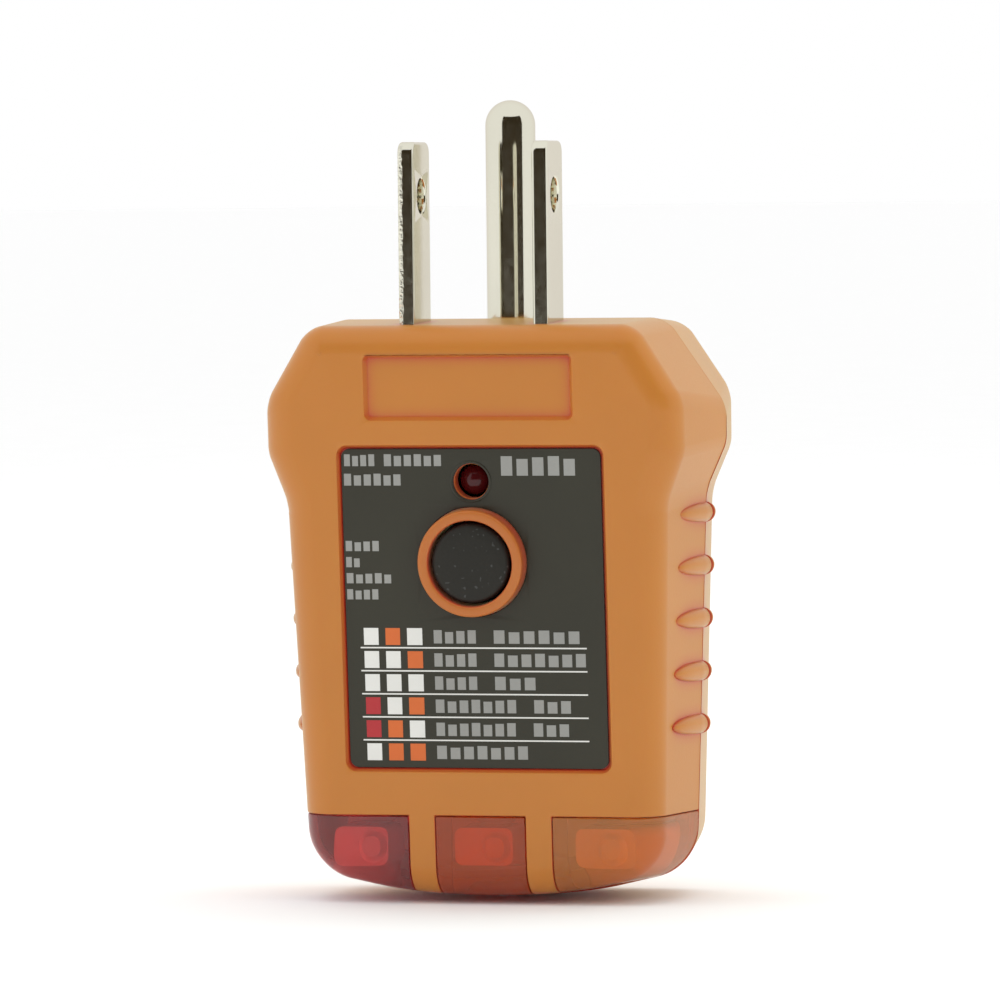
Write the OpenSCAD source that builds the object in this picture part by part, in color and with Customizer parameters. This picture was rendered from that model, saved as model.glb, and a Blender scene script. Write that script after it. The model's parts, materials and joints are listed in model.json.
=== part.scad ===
// Outlet tester plug: a clamshell body with two blades and a ground pin on top, three lamp
// windows round its foot, and a spring-loaded test button on its labelled face.
// Frame: origin on the plug face, midway between the two blades. +Z runs out along the
// prongs, +X to the right as the label is read, and +Y to the back.

/* [Body] */
// Width of the seam outline across the shoulders
body_w = 43.3; // [42.5:0.1:44.5]
// Width of the seam outline at the top of the grip
grip_w = 39.4; // [38.6:0.1:40]
// Width of the seam outline at the foot
foot_w = 37; // [36:0.1:38]
// Height from the plug face to the lowest point of the foot
body_h = 54; // [53.5:0.1:56]
// Distance from the blades back to the seam between the shells
seam_y = 6.7; // [6.5:0.1:7]
// Distance from the blades back to the flat back
back_y = 17; // [16.8:0.1:18]
// Distance from the blades forward to the labelled face, at the plug face
face_y0 = 6.2; // [6.1:0.1:6.6]
// Lean of the labelled face, which makes the body thinner at the foot
face_tilt = 4.4; // [4:0.1:4.8]
// Thickness of the shell walls
wall = 2; // [1.8:0.1:2.2]
// Radius that blends the labelled face into the sides
face_blend = 2.2; // [1.8:0.1:2.6]
// Radius that blends the back into the sides
back_blend = 1.8; // [1.4:0.1:2.2]

/* [Grip ribs] */
// Number of ribs down each side
rib_count = 5; // [3:1:5]
// Distance between ribs
rib_pitch = 4.88; // [4.5:0.01:4.9]
// Distance from the plug face down to the first rib
rib_z = 17.85; // [17.5:0.05:18.5]
// Radius of a rib at the seam
rib_r = 0.95; // [0.7:0.05:1.1]

/* [Labelled face] */
// Width of the label
label_w = 24.6; // [23:0.1:25]
// Height of the label
label_h = 29.7; // [28:0.1:30]
// Distance down the face to the top of the label
label_top = 11.8; // [11.5:0.1:12.5]
// Depth of the label's recess
label_depth = 0.6; // [0.4:0.05:0.8]
// Thickness of the label
label_t = 0.25; // [0.1:0.05:0.3]
// Width of the blank name recess
plate_w = 19.7; // [16:0.1:20]
// Height of the blank name recess
plate_h = 6.16; // [4:0.01:6.5]
// Distance down the face to the top of the name recess
plate_top = 2.95; // [2.8:0.05:3.5]
// Distance down the face to the middle of the status lamp
status_z = 14.85; // [14.6:0.05:15]
// Radius of the status lamp's hole
status_hole_r = 1.63; // [1.6:0.01:1.8]

/* [Test button] */
// Distance down the face to the middle of the button
button_z = 22.3; // [22:0.1:22.6]
// Radius of the button's cap
button_r = 3.7; // [3.5:0.05:3.72]
// Distance that the button travels
button_travel = 0.8; // [0.5:0.1:0.8]
// Radius of the collar's opening
collar_bore_r = 4.05; // [4.03:0.01:4.2]
// Outer radius of the collar
collar_r = 5.1; // [4.9:0.05:5.3]
// Height of the collar above the face
collar_h = 1.2; // [0.8:0.1:1.5]

/* [Prongs] */
// Distance between the two blades
blade_pitch = 12.7; // [12.5:0.1:12.9]
// Width of a blade
blade_w = 6.35; // [6.2:0.05:6.5]
// Thickness of a blade
blade_t = 1.5; // [1.4:0.05:1.6]
// Length of a blade beyond the plug face
blade_len = 17; // [15.9:0.1:18.2]
// Height of the hole in each blade
blade_hole_z = 11.7; // [11:0.1:12.4]
// Radius of the hole in each blade
blade_hole_r = 1.6; // [1.4:0.05:1.8]
// Radius of the ground pin
pin_r = 2.35; // [2.3:0.01:2.4]
// Length of the ground pin beyond the plug face
pin_len = 20.4; // [19:0.1:21]
// Distance from the blades back to the ground pin
pin_y = 11.89; // [11.8:0.01:12]

/* [Lamp windows] */
// Distance from the plug face down to the top of the windows
lens_top = 45.8; // [45.4:0.1:46]
// Thickness of a window
lens_t = 1.8; // [1.4:0.1:2]
// Middle of the strips between the windows, from the centre
strip_x = 5.55; // [5.2:0.05:5.8]
// Width of a strip between two windows
strip_w = 2.5; // [2:0.1:2.8]
// Distance from the middle lamp to each outer lamp
lamp_pitch = 11.5; // [11:0.1:11.6]
// Radius of a lamp
lamp_r = 1.5; // [1.2:0.1:1.5]

/* [Hidden] */
$fn = 48;

ORANGE = [0.86, 0.46, 0.13];
eps = 0.02;
far = 100;

// Right half of the seam outline, from the top corner to the middle of the foot. The last
// corner is rounded so much that the foot becomes one shallow bow. The top stands a little
// over the plug face, and the back shell runs a little past its back, so that flat cuts
// then give both their true planes.
bow_r = 52;
bow_slope = 12;
bow_drop = bow_r * (1 / cos(bow_slope) - 1);
over = 0.1;
seam_half = [[15.98, over], [body_w / 2, -8.2], [body_w / 2, -11.5], [grip_w / 2, -15.9],
             [foot_w / 2, -body_h - bow_drop + foot_w / 2 * tan(bow_slope)],
             [0, -body_h - bow_drop]];
// How far each corner has moved in and down where the outline reaches the face, and the back
face_shift = [[-0.63, 0], [-2.33, 1.07], [-2.33, -0.85], [-2.5, -1.1], [-2.4, 0.1], [0, 0.6]];
back_shift = [[-0.23, 0], [-1.7, 1.4], [-1.7, -0.5], [-1.6, -0.4], [-1.5, 0.3], [0, 0.5]];
corner_r = [2.5, 3.5, 1.8, 4, 5, bow_r];
corner_steps = [4, 4, 3, 4, 6, 6];
turns_in = [0, 0, 0, 1, 0, 0];
shell_depth = 11.5;

// Inside, measured inwards from the labelled face
flange_r = 4.7;
flange_top = -2.3;
flange_t = 0.8;
stem_r = 1.2;
stem_end = -4.1;
guide_r = flange_r + 0.05;
guide_wall = 1.3;
guide_end = -4.6;
contact_gap = 0.03;
switch_top = -5.1;
switch_w = 6;
board_front = -8.6;
board_t = 1.6;
plunger_r = 1.7;
plunger_end = -6.5;
switch_bore_end = -7.9;
spring_r = 1.95;
spring_wire_r = 0.2;
spring_turns = 3;
// Places of the pegs that hold the board, and the size of a peg
peg_x = 12.6;
peg_tops = [-20.2, -41];
peg_r = 1.6;
peg_pin_r = 0.75;
// Screws, which run from the back along Y
screw_x = 13;
screw_z = -14;
screw_r = 1.4;
screw_head_r = 2.5;
screw_head_t = 1.6;
screw_sink = 2.6;
screw_tip_y = 1.5;
boss_r = 2.6;
// Block that holds the prongs, and the pin's neck and tail
carrier_w = 23;
carrier_y = [-3.5, 14.7];
carrier_z = [-8, -wall - 0.3];
neck_r = 1.95;
tail_r = 1.2;
tail_end = -11.5;
blade_tail_w = 4;
blade_tail_end = -12;
// Board's outline from its middle to its corners: the neck at its top clears the screw bosses
board_w = 29.6;
board_neck_w = 19.6;
board_down = [12.8, 17.8, 43.8];
// Rear label and its recess
rear_w = 22.8;
rear_h = 17.8;
rear_t = 0.2;
rear_z = -31;
rear_depth = 0.3;
// White reflector behind the lamps
fin_y = 0.5;
fin_t = 1.2;
reflector_y = [9.4, 10.4];
reflector_top = -44.6;
lamp_z = [-50.2, -46];
lamp_y = 6.6;
lead_r = 0.25;
wire_r = 0.75;
// Places of the holes that the three jumpers are soldered in
wire_holes = [[-8.4, 16.6], [8.4, 16.6], [2.9, 17.3]];

function unit(v) = v / norm(v);
function lerp(a, b, t) = a + (b - a) * t;
function right_of(d) = [d[1], -d[0]];
function turned(v, a) = [v[0] * cos(a) - v[1] * sin(a), v[0] * sin(a) + v[1] * cos(a)];
function mirrored(c) = concat(c, [for (i = [len(c) - 2:-1:0]) [-c[i][0], c[i][1]]]);
function doubled(v) = concat(v, [for (i = [len(v) - 2:-1:0]) v[i]]);
function wrapped(c, i) = c[(i + len(c)) % len(c)];

// One corner of a clockwise outline, moved in by f square to both of its sides
function inset_corner(c, i, f) =
    let (n1 = right_of(unit(c[i] - wrapped(c, i - 1))))
    let (n2 = right_of(unit(wrapped(c, i + 1) - c[i])))
    c[i] + f * (n1 + n2) / (1 + n1 * n2);

// The arc that rounds one corner
function corner_arc(c, i, r, steps) =
    let (d1 = unit(c[i] - wrapped(c, i - 1)))
    let (d2 = unit(wrapped(c, i + 1) - c[i]))
    let (a = atan2(d1[0] * d2[1] - d1[1] * d2[0], d1 * d2))
    let (start = c[i] - d1 * r * tan(abs(a) / 2))
    let (to_centre = -right_of(d1) * sign(a))
    [for (k = [0:steps]) start + r * (to_centre - turned(to_centre, a * k / steps))];

// The whole outline, t of the way from the seam to the face or back, moved in by f
function outline(shift, t, f) =
    let (moved = mirrored([for (i = [0:len(seam_half) - 1]) seam_half[i] + shift[i] * t]))
    let (c = [for (i = [0:len(moved) - 1]) inset_corner(moved, i, f)])
    let (radii = doubled(corner_r))
    let (steps = doubled(corner_steps))
    let (inner = doubled(turns_in))
    [for (i = [0:len(c) - 1])
        each corner_arc(c, i, max(0.3, radii[i] + (inner[i] ? f : -f)), steps[i])];

function face_y(z) = -face_y0 - tan(face_tilt) * z;
function ring(shift, t, f) = [for (p = outline(shift, t, f))
    [p[0], lerp(seam_y, shift == face_shift ? face_y(p[1]) : back_y, t), p[1]]];

// Rings from the seam outwards: straight drafted walls, then a quarter-round blend. It ends
// past the flat by that share of the depth.
function blend_rings(shift, r, steps, past) = concat([ring(shift, 0, 0)],
    [for (k = [0:steps])
        let (a = 90 * k / steps)
        ring(shift, 1 + past - r * (1 - sin(a)) / shell_depth, r * (1 - cos(a)))]);

// A solid through closed rings of points, with its two flat ends cut into level strips
module loft(rings, flip) {
    n = len(rings[0]);
    last = len(rings) - 1;
    sides = [for (k = [0:last - 1]) for (i = [0:n - 1])
        let (j = (i + 1) % n)
        each [[k * n + i, k * n + j, k * n + n + j], [k * n + i, k * n + n + j, k * n + n + i]]];
    caps = [for (k = [0, last]) for (i = [0:ceil(n / 2) - 2])
        let (strip = [i, i + 1, n - 2 - i, n - 1 - i])
        let (band = i + 1 == n - 2 - i ? [strip[0], strip[1], strip[3]] : strip)
        [for (s = [0:len(band) - 1]) k * n + (k == 0 ? band[len(band) - 1 - s] : band[s])]];
    turned_faces = concat(sides, caps);
    faces = flip ? [for (f = turned_faces) [for (i = [len(f) - 1:-1:0]) f[i]]] : turned_faces;
    polyhedron([for (r = rings) each r], faces, convexity = 6);
}

module front_solid() {
    loft(blend_rings(face_shift, face_blend, 4, 0), false);
}

module back_solid() {
    intersection() {
        loft(blend_rings(back_shift, back_blend, 4, 0.02), true);
        box([-far, seam_y - 1, -far], [far, back_y, far]);
    }
}

// The hollow of a shell with walls of thickness w, which runs out past the seam
module hollow(shift, w, flip) {
    inner = ring(shift, 0, w);
    past = flip ? -1 : 1;
    loft([[for (p = inner) p + [0, past, 0]], inner, ring(shift, 1 - w / shell_depth, w + 0.3)], flip);
}

// Puts its children on the labelled face: x across, y up the face, z out of it
module on_face(down = 0) {
    translate([0, -face_y0, 0])
        rotate([90 + face_tilt, 0, 0])
            translate([0, -down, 0])
                children();
}

module rounded_plate(w, h, r, t) {
    linear_extrude(t)
        union() {
            square([w - 2 * r, h], center = true);
            square([w, h - 2 * r], center = true);
            for (x = [-1, 1], y = [-1, 1])
                translate([x * (w / 2 - r), y * (h / 2 - r)])
                    circle(r, $fn = 32);
        }
}

module upright(r, from, to) {
    translate([0, 0, from])
        cylinder(h = to - from, r = r);
}

module along_y(r, from, to) {
    translate([0, from, 0])
        rotate([-90, 0, 0])
            cylinder(h = to - from, r = r);
}

module box(low, high) {
    translate(low)
        cube(high - low);
}

// A point on the smooth curve through a list of points, t of the way from point i to the next
function spline(p, i, t) =
    let (a = p[max(i - 1, 0)])
    let (d = p[min(i + 2, len(p) - 1)])
    0.5 * (2 * p[i] + (p[i + 1] - a) * t + (2 * a - 5 * p[i] + 4 * p[i + 1] - d) * t * t
        + (3 * p[i] - a - 3 * p[i + 1] + d) * t * t * t);

// A smooth tube of 8 sides through a list of points
module tube(points, r) {
    sides = 8;
    steps = 5;
    last = (len(points) - 1) * steps;
    path = concat([for (i = [0:len(points) - 2]) for (k = [0:steps - 1]) spline(points, i, k / steps)],
                  [points[len(points) - 1]]);
    rings = [for (k = [0:last])
        let (d = unit(path[min(k + 1, last)] - path[max(k - 1, 0)]))
        let (u = unit(cross(d, [1, 0, 0])))
        let (v = cross(d, u))
        [for (s = [0:sides - 1]) path[k] + r * (cos(360 * s / sides) * u + sin(360 * s / sides) * v)]];
    loft(rings, true);
}

// A rod through a list of points, with round joints
module rod(points, r) {
    for (i = [0:len(points) - 2]) {
        d = points[i + 1] - points[i];
        translate(points[i])
            rotate([0, acos(d[2] / norm(d)), atan2(d[1], d[0])])
                cylinder(h = norm(d), r = r, $fn = 16);
    }
    for (i = [1:len(points) - 2])
        translate(points[i])
            sphere(r, $fn = 16);
}

// One rib: a slim teardrop that lies along the side and is widest at the seam
module rib(reach) {
    rotate_extrude($fn = 24)
        polygon([[0, 0], [rib_r, 0], [rib_r * 0.97, reach * 0.25], [rib_r * 0.83, reach * 0.5],
                 [rib_r * 0.58, reach * 0.75], [rib_r * 0.32, reach * 0.92], [0, reach]]);
}

module ribs(reach, lean) {
    side_slope = (grip_w - foot_w) / 2 / (body_h - 15.9);
    for (i = [0:rib_count - 1]) {
        z = -rib_z - i * rib_pitch;
        x = grip_w / 2 + (z + 15.9) * side_slope - 0.25;
        for (side = [-1, 1])
            translate([side * x, seam_y, z])
                rotate([reach > 0 ? -90 : 90, 0, side * lean])
                        rib(abs(reach));
    }
}

module blade_slots(gap) {
    for (x = [-1, 1])
        translate([x * blade_pitch / 2, 0, -5])
            cube([blade_t + 2 * gap, blade_w + 2 * gap, 30], center = true);
}

module lens_zone(low_x, high_x) {
    box([low_x, -far, -far], [high_x, seam_y, -lens_top]);
}

module front_shell() color(ORANGE) {
    difference() {
        union() {
            difference() {
                intersection() {
                    union() {
                        front_solid();
                        ribs(-8, -10.8);
                    }
                    box([-far, -far, -far], [far, seam_y, 0]);
                }
                hollow(face_shift, wall, false);
            }
            on_face(button_z) {
                upright(collar_r, -1, collar_h);
                upright(guide_r + guide_wall, guide_end, -wall + 0.3);
            }
            for (x = [-1, 1], y = peg_tops)
                on_face(-y)
                    translate([x * peg_x, 0, 0]) {
                        upright(peg_r, board_front, -wall + 0.3);
                        upright(peg_pin_r, board_front - board_t - 0.5, board_front + 1);
                    }
            for (x = [-1, 1])
                translate([x * screw_x, 0, screw_z])
                    along_y(boss_r, -3.6, seam_y);
        }
        lens_zone(-far, -strip_x - strip_w / 2);
        lens_zone(-strip_x + strip_w / 2, strip_x - strip_w / 2);
        lens_zone(strip_x + strip_w / 2, far);
        on_face(plate_top + plate_h / 2)
            translate([0, 0, -0.5])
                rounded_plate(plate_w, plate_h, 0.5, 5);
        on_face(label_top + label_h / 2)
            translate([0, 0, -label_depth])
                difference() {
                    rounded_plate(label_w + 0.6, label_h + 0.6, 1, 5);
                    translate([0, label_top + label_h / 2 - button_z, -1])
                        cylinder(h = 10, r = collar_r);
                }
        on_face(button_z) {
            upright(collar_bore_r, -5, collar_h + 1);
            upright(guide_r, guide_end - 1, flange_top);
        }
        on_face(status_z)
            upright(status_hole_r, -5, 1);
        for (x = [-1, 1])
            translate([x * screw_x, 0, screw_z])
                along_y(screw_r + 0.02, screw_tip_y - 0.5, seam_y + 1);
        blade_slots(0.05);
    }
}

module back_shell() color(ORANGE) {
    difference() {
        union() {
            difference() {
                intersection() {
                    union() {
                        back_solid();
                        ribs(5, 9.4);
                    }
                    box([-far, seam_y, -far], [far, back_y + 1, 0]);
                }
                hollow(back_shift, wall, true);
            }
            for (x = [-1, 1])
                translate([x * screw_x, 0, screw_z])
                    along_y(screw_head_r + 1, seam_y, back_y - 0.5);
        }
        translate([0, pin_y, 0])
            upright(pin_r + 0.05, -wall - 1, 1);
        for (x = [-1, 1])
            translate([x * screw_x, 0, screw_z]) {
                along_y(screw_r + 0.3, seam_y - 1, back_y + 1);
                along_y(screw_head_r + 0.3, back_y - screw_sink, back_y + 1);
            }
        translate([0, back_y - rear_depth, rear_z])
            rotate([-90, 0, 0])
                rounded_plate(rear_w + 0.2, rear_h + 0.2, 1, 2);
    }
}

module face_label() color([0.24, 0.24, 0.20]) {
    difference() {
        on_face(label_top + label_h / 2)
            translate([0, 0, -label_depth])
                rounded_plate(label_w, label_h, 0.8, label_t);
        on_face(button_z)
            upright(collar_r + 0.1, -3, 3);
        on_face(status_z)
            upright(status_hole_r + 0.15, -3, 3);
    }
}

module rear_label() color([0.85, 0.85, 0.83]) {
    translate([0, back_y - rear_depth, rear_z])
        rotate([-90, 0, 0])
            rounded_plate(rear_w, rear_h, 0.9, rear_t);
}

// Cap, retaining flange and stem, turned about the button's own axis
module test_button() color([0.2, 0.2, 0.19]) {
    top = collar_h - 0.25;
    on_face(button_z)
        rotate_extrude()
            polygon([[0, stem_end], [stem_r, stem_end], [stem_r, flange_top - flange_t],
                     [flange_r, flange_top - flange_t], [flange_r, flange_top - eps],
                     [button_r, flange_top - eps], [button_r, top - 0.4],
                     [button_r - 0.12, top - 0.15], [button_r - 0.4, top], [0, top]]);
}

// A compression coil, swept round with flat-sided wire
module button_spring() color([0.75, 0.75, 0.72]) {
    low = switch_top + contact_gap + spring_wire_r;
    high = flange_top - flange_t - contact_gap - spring_wire_r;
    per_turn = 20;
    sides = 6;
    count = spring_turns * per_turn;
    points = [for (k = [0:count]) for (s = [0:sides - 1])
        let (a = 360 * k / per_turn)
        let (r = spring_r + spring_wire_r * cos(360 * s / sides))
        [r * cos(a), r * sin(a), lerp(low, high, k / count) + spring_wire_r * sin(360 * s / sides)]];
    walls = [for (k = [0:count - 1]) for (s = [0:sides - 1])
        let (j = (s + 1) % sides)
        each [[k * sides + s, k * sides + j, k * sides + sides + j],
              [k * sides + s, k * sides + sides + j, k * sides + sides + s]]];
    ends = [[for (s = [sides - 1:-1:0]) s], [for (s = [0:sides - 1]) count * sides + s]];
    on_face(button_z)
        polyhedron(points, concat(walls, ends), convexity = 8);
}

module switch_plunger() color([0.15, 0.15, 0.15]) {
    on_face(button_z)
        upright(plunger_r, plunger_end, stem_end - contact_gap);
}

module switch_housing() color([0.3, 0.3, 0.32]) {
    on_face(button_z)
        difference() {
            box([-switch_w / 2, -switch_w / 2, board_front], [switch_w / 2, switch_w / 2, switch_top]);
            upright(plunger_r + 0.05, switch_bore_end, switch_top + 1);
        }
}

module switch_legs() color([0.8, 0.8, 0.78]) {
    on_face(button_z)
        for (x = [-1, 1], y = [-1, 1])
            translate([x * (switch_w / 2 + 0.25), y * 2.25, 0])
                box([-0.25, -0.35, board_front - board_t - 0.6], [0.25, 0.35, board_front + 1.2]);
}

module circuit_board() color([0.1, 0.35, 0.18]) {
    difference() {
        on_face()
            translate([0, 0, board_front - board_t])
                linear_extrude(board_t)
                    for (band = [[board_neck_w, board_down[0], board_down[2]],
                                 [board_w, board_down[1], board_down[2]]])
                        translate([-band[0] / 2, -band[2]])
                            square([band[0], band[2] - band[1]]);
        for (x = [-1, 1], y = peg_tops)
            on_face(-y)
                translate([x * peg_x, 0, 0])
                    upright(peg_pin_r + 0.02, -20, 0);
        on_face(button_z)
            for (x = [-1, 1], y = [-1, 1])
                translate([x * (switch_w / 2 + 0.25), y * 2.25, 0])
                    box([-0.27, -0.37, -20], [0.27, 0.37, 0]);
        status_leads();
        for (p = wire_ended_places)
            wire_ended_leads(p);
        lamp_leads();
        for (hole = wire_holes)
            on_face(hole[1])
                translate([hole[0], 0, 0])
                    upright(wire_r + 0.35, -20, 0);
    }
}

// A flat blade with a bevelled tip, a hole and a narrow solder tail
module blade(x) {
    tip = 1.1;
    translate([x, 0, 0])
        difference() {
            intersection() {
                rotate([90, 0, 90])
                    linear_extrude(blade_t, center = true)
                        polygon([[-blade_w / 2, carrier_z[0]], [-blade_tail_w / 2, carrier_z[0]],
                                 [-blade_tail_w / 2, blade_tail_end], [blade_tail_w / 2, blade_tail_end],
                                 [blade_tail_w / 2, carrier_z[0]], [blade_w / 2, carrier_z[0]],
                                 [blade_w / 2, blade_len - tip], [blade_w / 2 - tip, blade_len],
                                 [tip - blade_w / 2, blade_len], [-blade_w / 2, blade_len - tip]]);
                rotate([90, 0, 0])
                    linear_extrude(20, center = true)
                        polygon([[-blade_t / 2, -13], [blade_t / 2, -13], [blade_t / 2, blade_len - tip],
                                 [blade_t / 5, blade_len], [-blade_t / 5, blade_len],
                                 [-blade_t / 2, blade_len - tip]]);
            }
            translate([0, 0, blade_hole_z])
                rotate([0, 90, 0])
                    cylinder(h = 10, r = blade_hole_r, center = true);
        }
}

module left_blade() color([0.82, 0.81, 0.76]) {
    blade(-blade_pitch / 2);
}

module right_blade() color([0.82, 0.81, 0.76]) {
    blade(blade_pitch / 2);
}

module ground_pin() color([0.82, 0.81, 0.76]) {
    translate([0, pin_y, 0]) {
        upright(pin_r, 0, pin_len - pin_r);
        intersection() {
            translate([0, 0, pin_len - pin_r])
                sphere(pin_r);
            upright(pin_r + 1, pin_len - pin_r, pin_len + 1);
        }
        upright(neck_r, carrier_z[0], 0);
        upright(tail_r, tail_end, carrier_z[0]);
    }
}

module prong_carrier() color([0.9, 0.88, 0.8]) {
    difference() {
        box([-carrier_w / 2, carrier_y[0], carrier_z[0]], [carrier_w / 2, carrier_y[1], carrier_z[1]]);
        blade_slots(0);
        translate([0, pin_y, 0])
            upright(neck_r + 0.02, carrier_z[0] - 1, 1);
    }
}

module lens(low_x, high_x) {
    difference() {
        intersection() {
            front_solid();
            lens_zone(low_x, high_x);
        }
        hollow(face_shift, lens_t, false);
    }
}

module left_lens() color([0.75, 0.1, 0.12, 0.7]) {
    lens(-far, -strip_x - strip_w / 2);
}

module middle_lens() color([0.9, 0.35, 0.1, 0.7]) {
    lens(-strip_x + strip_w / 2, strip_x - strip_w / 2);
}

module right_lens() color([0.93, 0.45, 0.15, 0.7]) {
    lens(strip_x + strip_w / 2, far);
}

// A lamp that hangs from the board: rim, barrel and domed end, turned about its axis
module lamp(x) {
    translate([x, lamp_y, 0])
        rotate_extrude($fn = 32)
            polygon(concat([[0, lamp_z[1]], [lamp_r + 0.25, lamp_z[1]], [lamp_r + 0.25, lamp_z[1] - 0.6],
                            [lamp_r, lamp_z[1] - 0.6]],
                           [for (a = [0:15:90]) [lamp_r * cos(a), lamp_z[0] + lamp_r * (1 - sin(a))]]));
}

module left_lamp() color([0.9, 0.55, 0.45]) {
    lamp(-lamp_pitch);
}

module middle_lamp() color([0.9, 0.55, 0.45]) {
    lamp(0);
}

module right_lamp() color([0.9, 0.55, 0.45]) {
    lamp(lamp_pitch);
}

module lamp_leads() color([0.25, 0.25, 0.25]) {
    for (x = [-lamp_pitch, 0, lamp_pitch], side = [-0.9, 0.9])
        translate([x + side, lamp_y, 0])
            upright(lead_r, lamp_z[1], -41.8, $fn = 16);
}

// White reflector: a back wall and two fins, which follow the foot's outline inside the walls
module light_divider() color([0.93, 0.93, 0.9]) {
    intersection() {
        translate([0, seam_y, 0])
            rotate([90, 0, 0])
                linear_extrude(40, center = true)
                    polygon(outline(back_shift, 0, wall + 1.6));
        union() {
            for (x = [-1, 1])
                box([x * strip_x - fin_t / 2, fin_y, -far],
                    [x * strip_x + fin_t / 2, reflector_y[0] + eps, reflector_top]);
            box([-far, reflector_y[0], -far], [far, reflector_y[1], reflector_top]);
        }
    }
}

module status_lamp() color([0.35, 0.07, 0.08]) {
    on_face(status_z)
        rotate_extrude($fn = 32)
            polygon(concat([[0, -5.4], [1.8, -5.4], [1.8, -4.8], [1.5, -4.8]],
                           [for (a = [0:15:90]) [1.5 * cos(a), -2.5 + 1.5 * sin(a)]]));
}

module status_leads() color([0.8, 0.8, 0.78]) {
    on_face(status_z)
        for (x = [-1.27, 1.27])
            translate([x, 0, 0])
                upright(lead_r, board_front - board_t - 0.6, -5.4, $fn = 16);
}

// Wire-ended parts lie across the board: [middle x, distance down the face, body length, radius]
resistor_places = [[-5.4, 30.4, 6.4, 1.15], [-5.4, 34.2, 6.4, 1.15], [-5.4, 38, 6.4, 1.15]];
test_resistor_place = [[6, 31, 7.4, 1.5]];
diode_place = [[6, 36.4, 4.4, 1.1]];
wire_ended_places = concat(resistor_places, test_resistor_place, diode_place);

module wire_ended_leads(p) {
    reach = p[2] / 2 + 1.6;
    height = board_front + p[3] + 0.3;
    on_face(p[1])
        for (side = [-1, 1])
            rod([[p[0] + side * (p[2] / 2 - 0.2), 0, height], [p[0] + side * reach, 0, height],
                 [p[0] + side * reach, 0, board_front - board_t - 0.6]], lead_r);
}

module wire_ended_body(p) {
    bulge = p[3] * 0.15;
    on_face(p[1])
        translate([p[0], 0, board_front + p[3] + 0.3])
            rotate([0, 90, 0])
                rotate_extrude($fn = 32)
                    polygon([[0, -p[2] / 2], [p[3] - bulge, -p[2] / 2], [p[3], -p[2] / 2 + 0.5],
                             [p[3], -p[2] / 2 + 1.4], [p[3] - bulge, -p[2] / 2 + 1.8],
                             [p[3] - bulge, p[2] / 2 - 1.8], [p[3], p[2] / 2 - 1.4],
                             [p[3], p[2] / 2 - 0.5], [p[3] - bulge, p[2] / 2], [0, p[2] / 2]]);
}

module wire_ended(p) {
    wire_ended_body(p);
    wire_ended_leads(p);
}

module lamp_resistors() color([0.75, 0.65, 0.5]) {
    for (p = resistor_places)
        wire_ended(p);
}

module test_resistor() color([0.35, 0.5, 0.6]) {
    for (p = test_resistor_place)
        wire_ended(p);
}

module rectifier_diode() color([0.15, 0.15, 0.15]) {
    for (p = diode_place)
        wire_ended(p);
}

// Jumpers from the prongs' tails to the board. The last two points of each are on its hole's axis
module blade_jumper(side) {
    tube([[side * blade_pitch / 2, 0, blade_tail_end - eps], [side * 6.5, 0, -13.6], [side * 8, 1, -15.7],
          [side * 8.4, 3, -15.94], [side * 8.4, 5.6, -15.74]], wire_r);
}

module left_wire() color([0.9, 0.9, 0.9]) {
    blade_jumper(-1);
}

module right_wire() color([0.12, 0.12, 0.12]) {
    blade_jumper(1);
}

module ground_wire() color([0.15, 0.5, 0.2]) {
    tube([[0, pin_y, tail_end - 0.05], [0.1, pin_y, -13.5], [1.5, 10, -16.1], [2.9, 7, -16.34],
          [2.9, 3.6, -16.6]], wire_r);
}

module solder_joints() color([0.7, 0.7, 0.7]) {
    joints = [for (p = wire_ended_places) for (side = [-1, 1])
        [p[0] + side * (p[2] / 2 + 1.6), p[1]]];
    difference() {
        for (j = joints)
            on_face(j[1])
                translate([j[0], 0, board_front - board_t - 0.6])
                    cylinder(h = 0.6, r1 = 0.35, r2 = 0.8, $fn = 24);
        for (p = wire_ended_places)
            wire_ended_leads(p);
    }
}

module case_screws() color([0.6, 0.6, 0.62]) {
    for (x = [-1, 1])
        translate([x * screw_x, 0, screw_z])
            difference() {
                union() {
                    along_y(screw_head_r, back_y - screw_sink, back_y - screw_sink + screw_head_t);
                    along_y(screw_r, screw_tip_y, back_y - screw_sink);
                }
                for (turn = [0, 90])
                    rotate([0, turn, 0])
                        box([-1.4, back_y - screw_sink + 0.7, -0.3], [1.4, back_y, 0.3]);
            }
}

front_shell();
back_shell();
face_label();
rear_label();
test_button();
button_spring();
switch_plunger();
switch_housing();
switch_legs();
circuit_board();
left_blade();
right_blade();
ground_pin();
prong_carrier();
left_lens();
middle_lens();
right_lens();
left_lamp();
middle_lamp();
right_lamp();
lamp_leads();
light_divider();
status_lamp();
status_leads();
lamp_resistors();
test_resistor();
rectifier_diode();
left_wire();
right_wire();
ground_wire();
solder_joints();
case_screws();
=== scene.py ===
# %% [markdown]
# # An outlet tester plug
# This lesson dresses a small orange tester that pushes into a wall outlet. Its frame comes
# from a CAD model: two flat blades and a round ground pin on top, a clamshell body, three
# lamp windows round the foot, and a test button on the labelled face. The CAD model has the
# true sizes, so every piece here is made in millimetres in the same frame and then scaled to
# metres. The origin is on the plug face, +Z runs out along the prongs and +Y to the back.

# %% Load the frame
import bmesh
import bpy
import json
from math import atan2, cos, inf, pi, radians, sin, tan
from mathutils import Matrix, Vector

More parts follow.
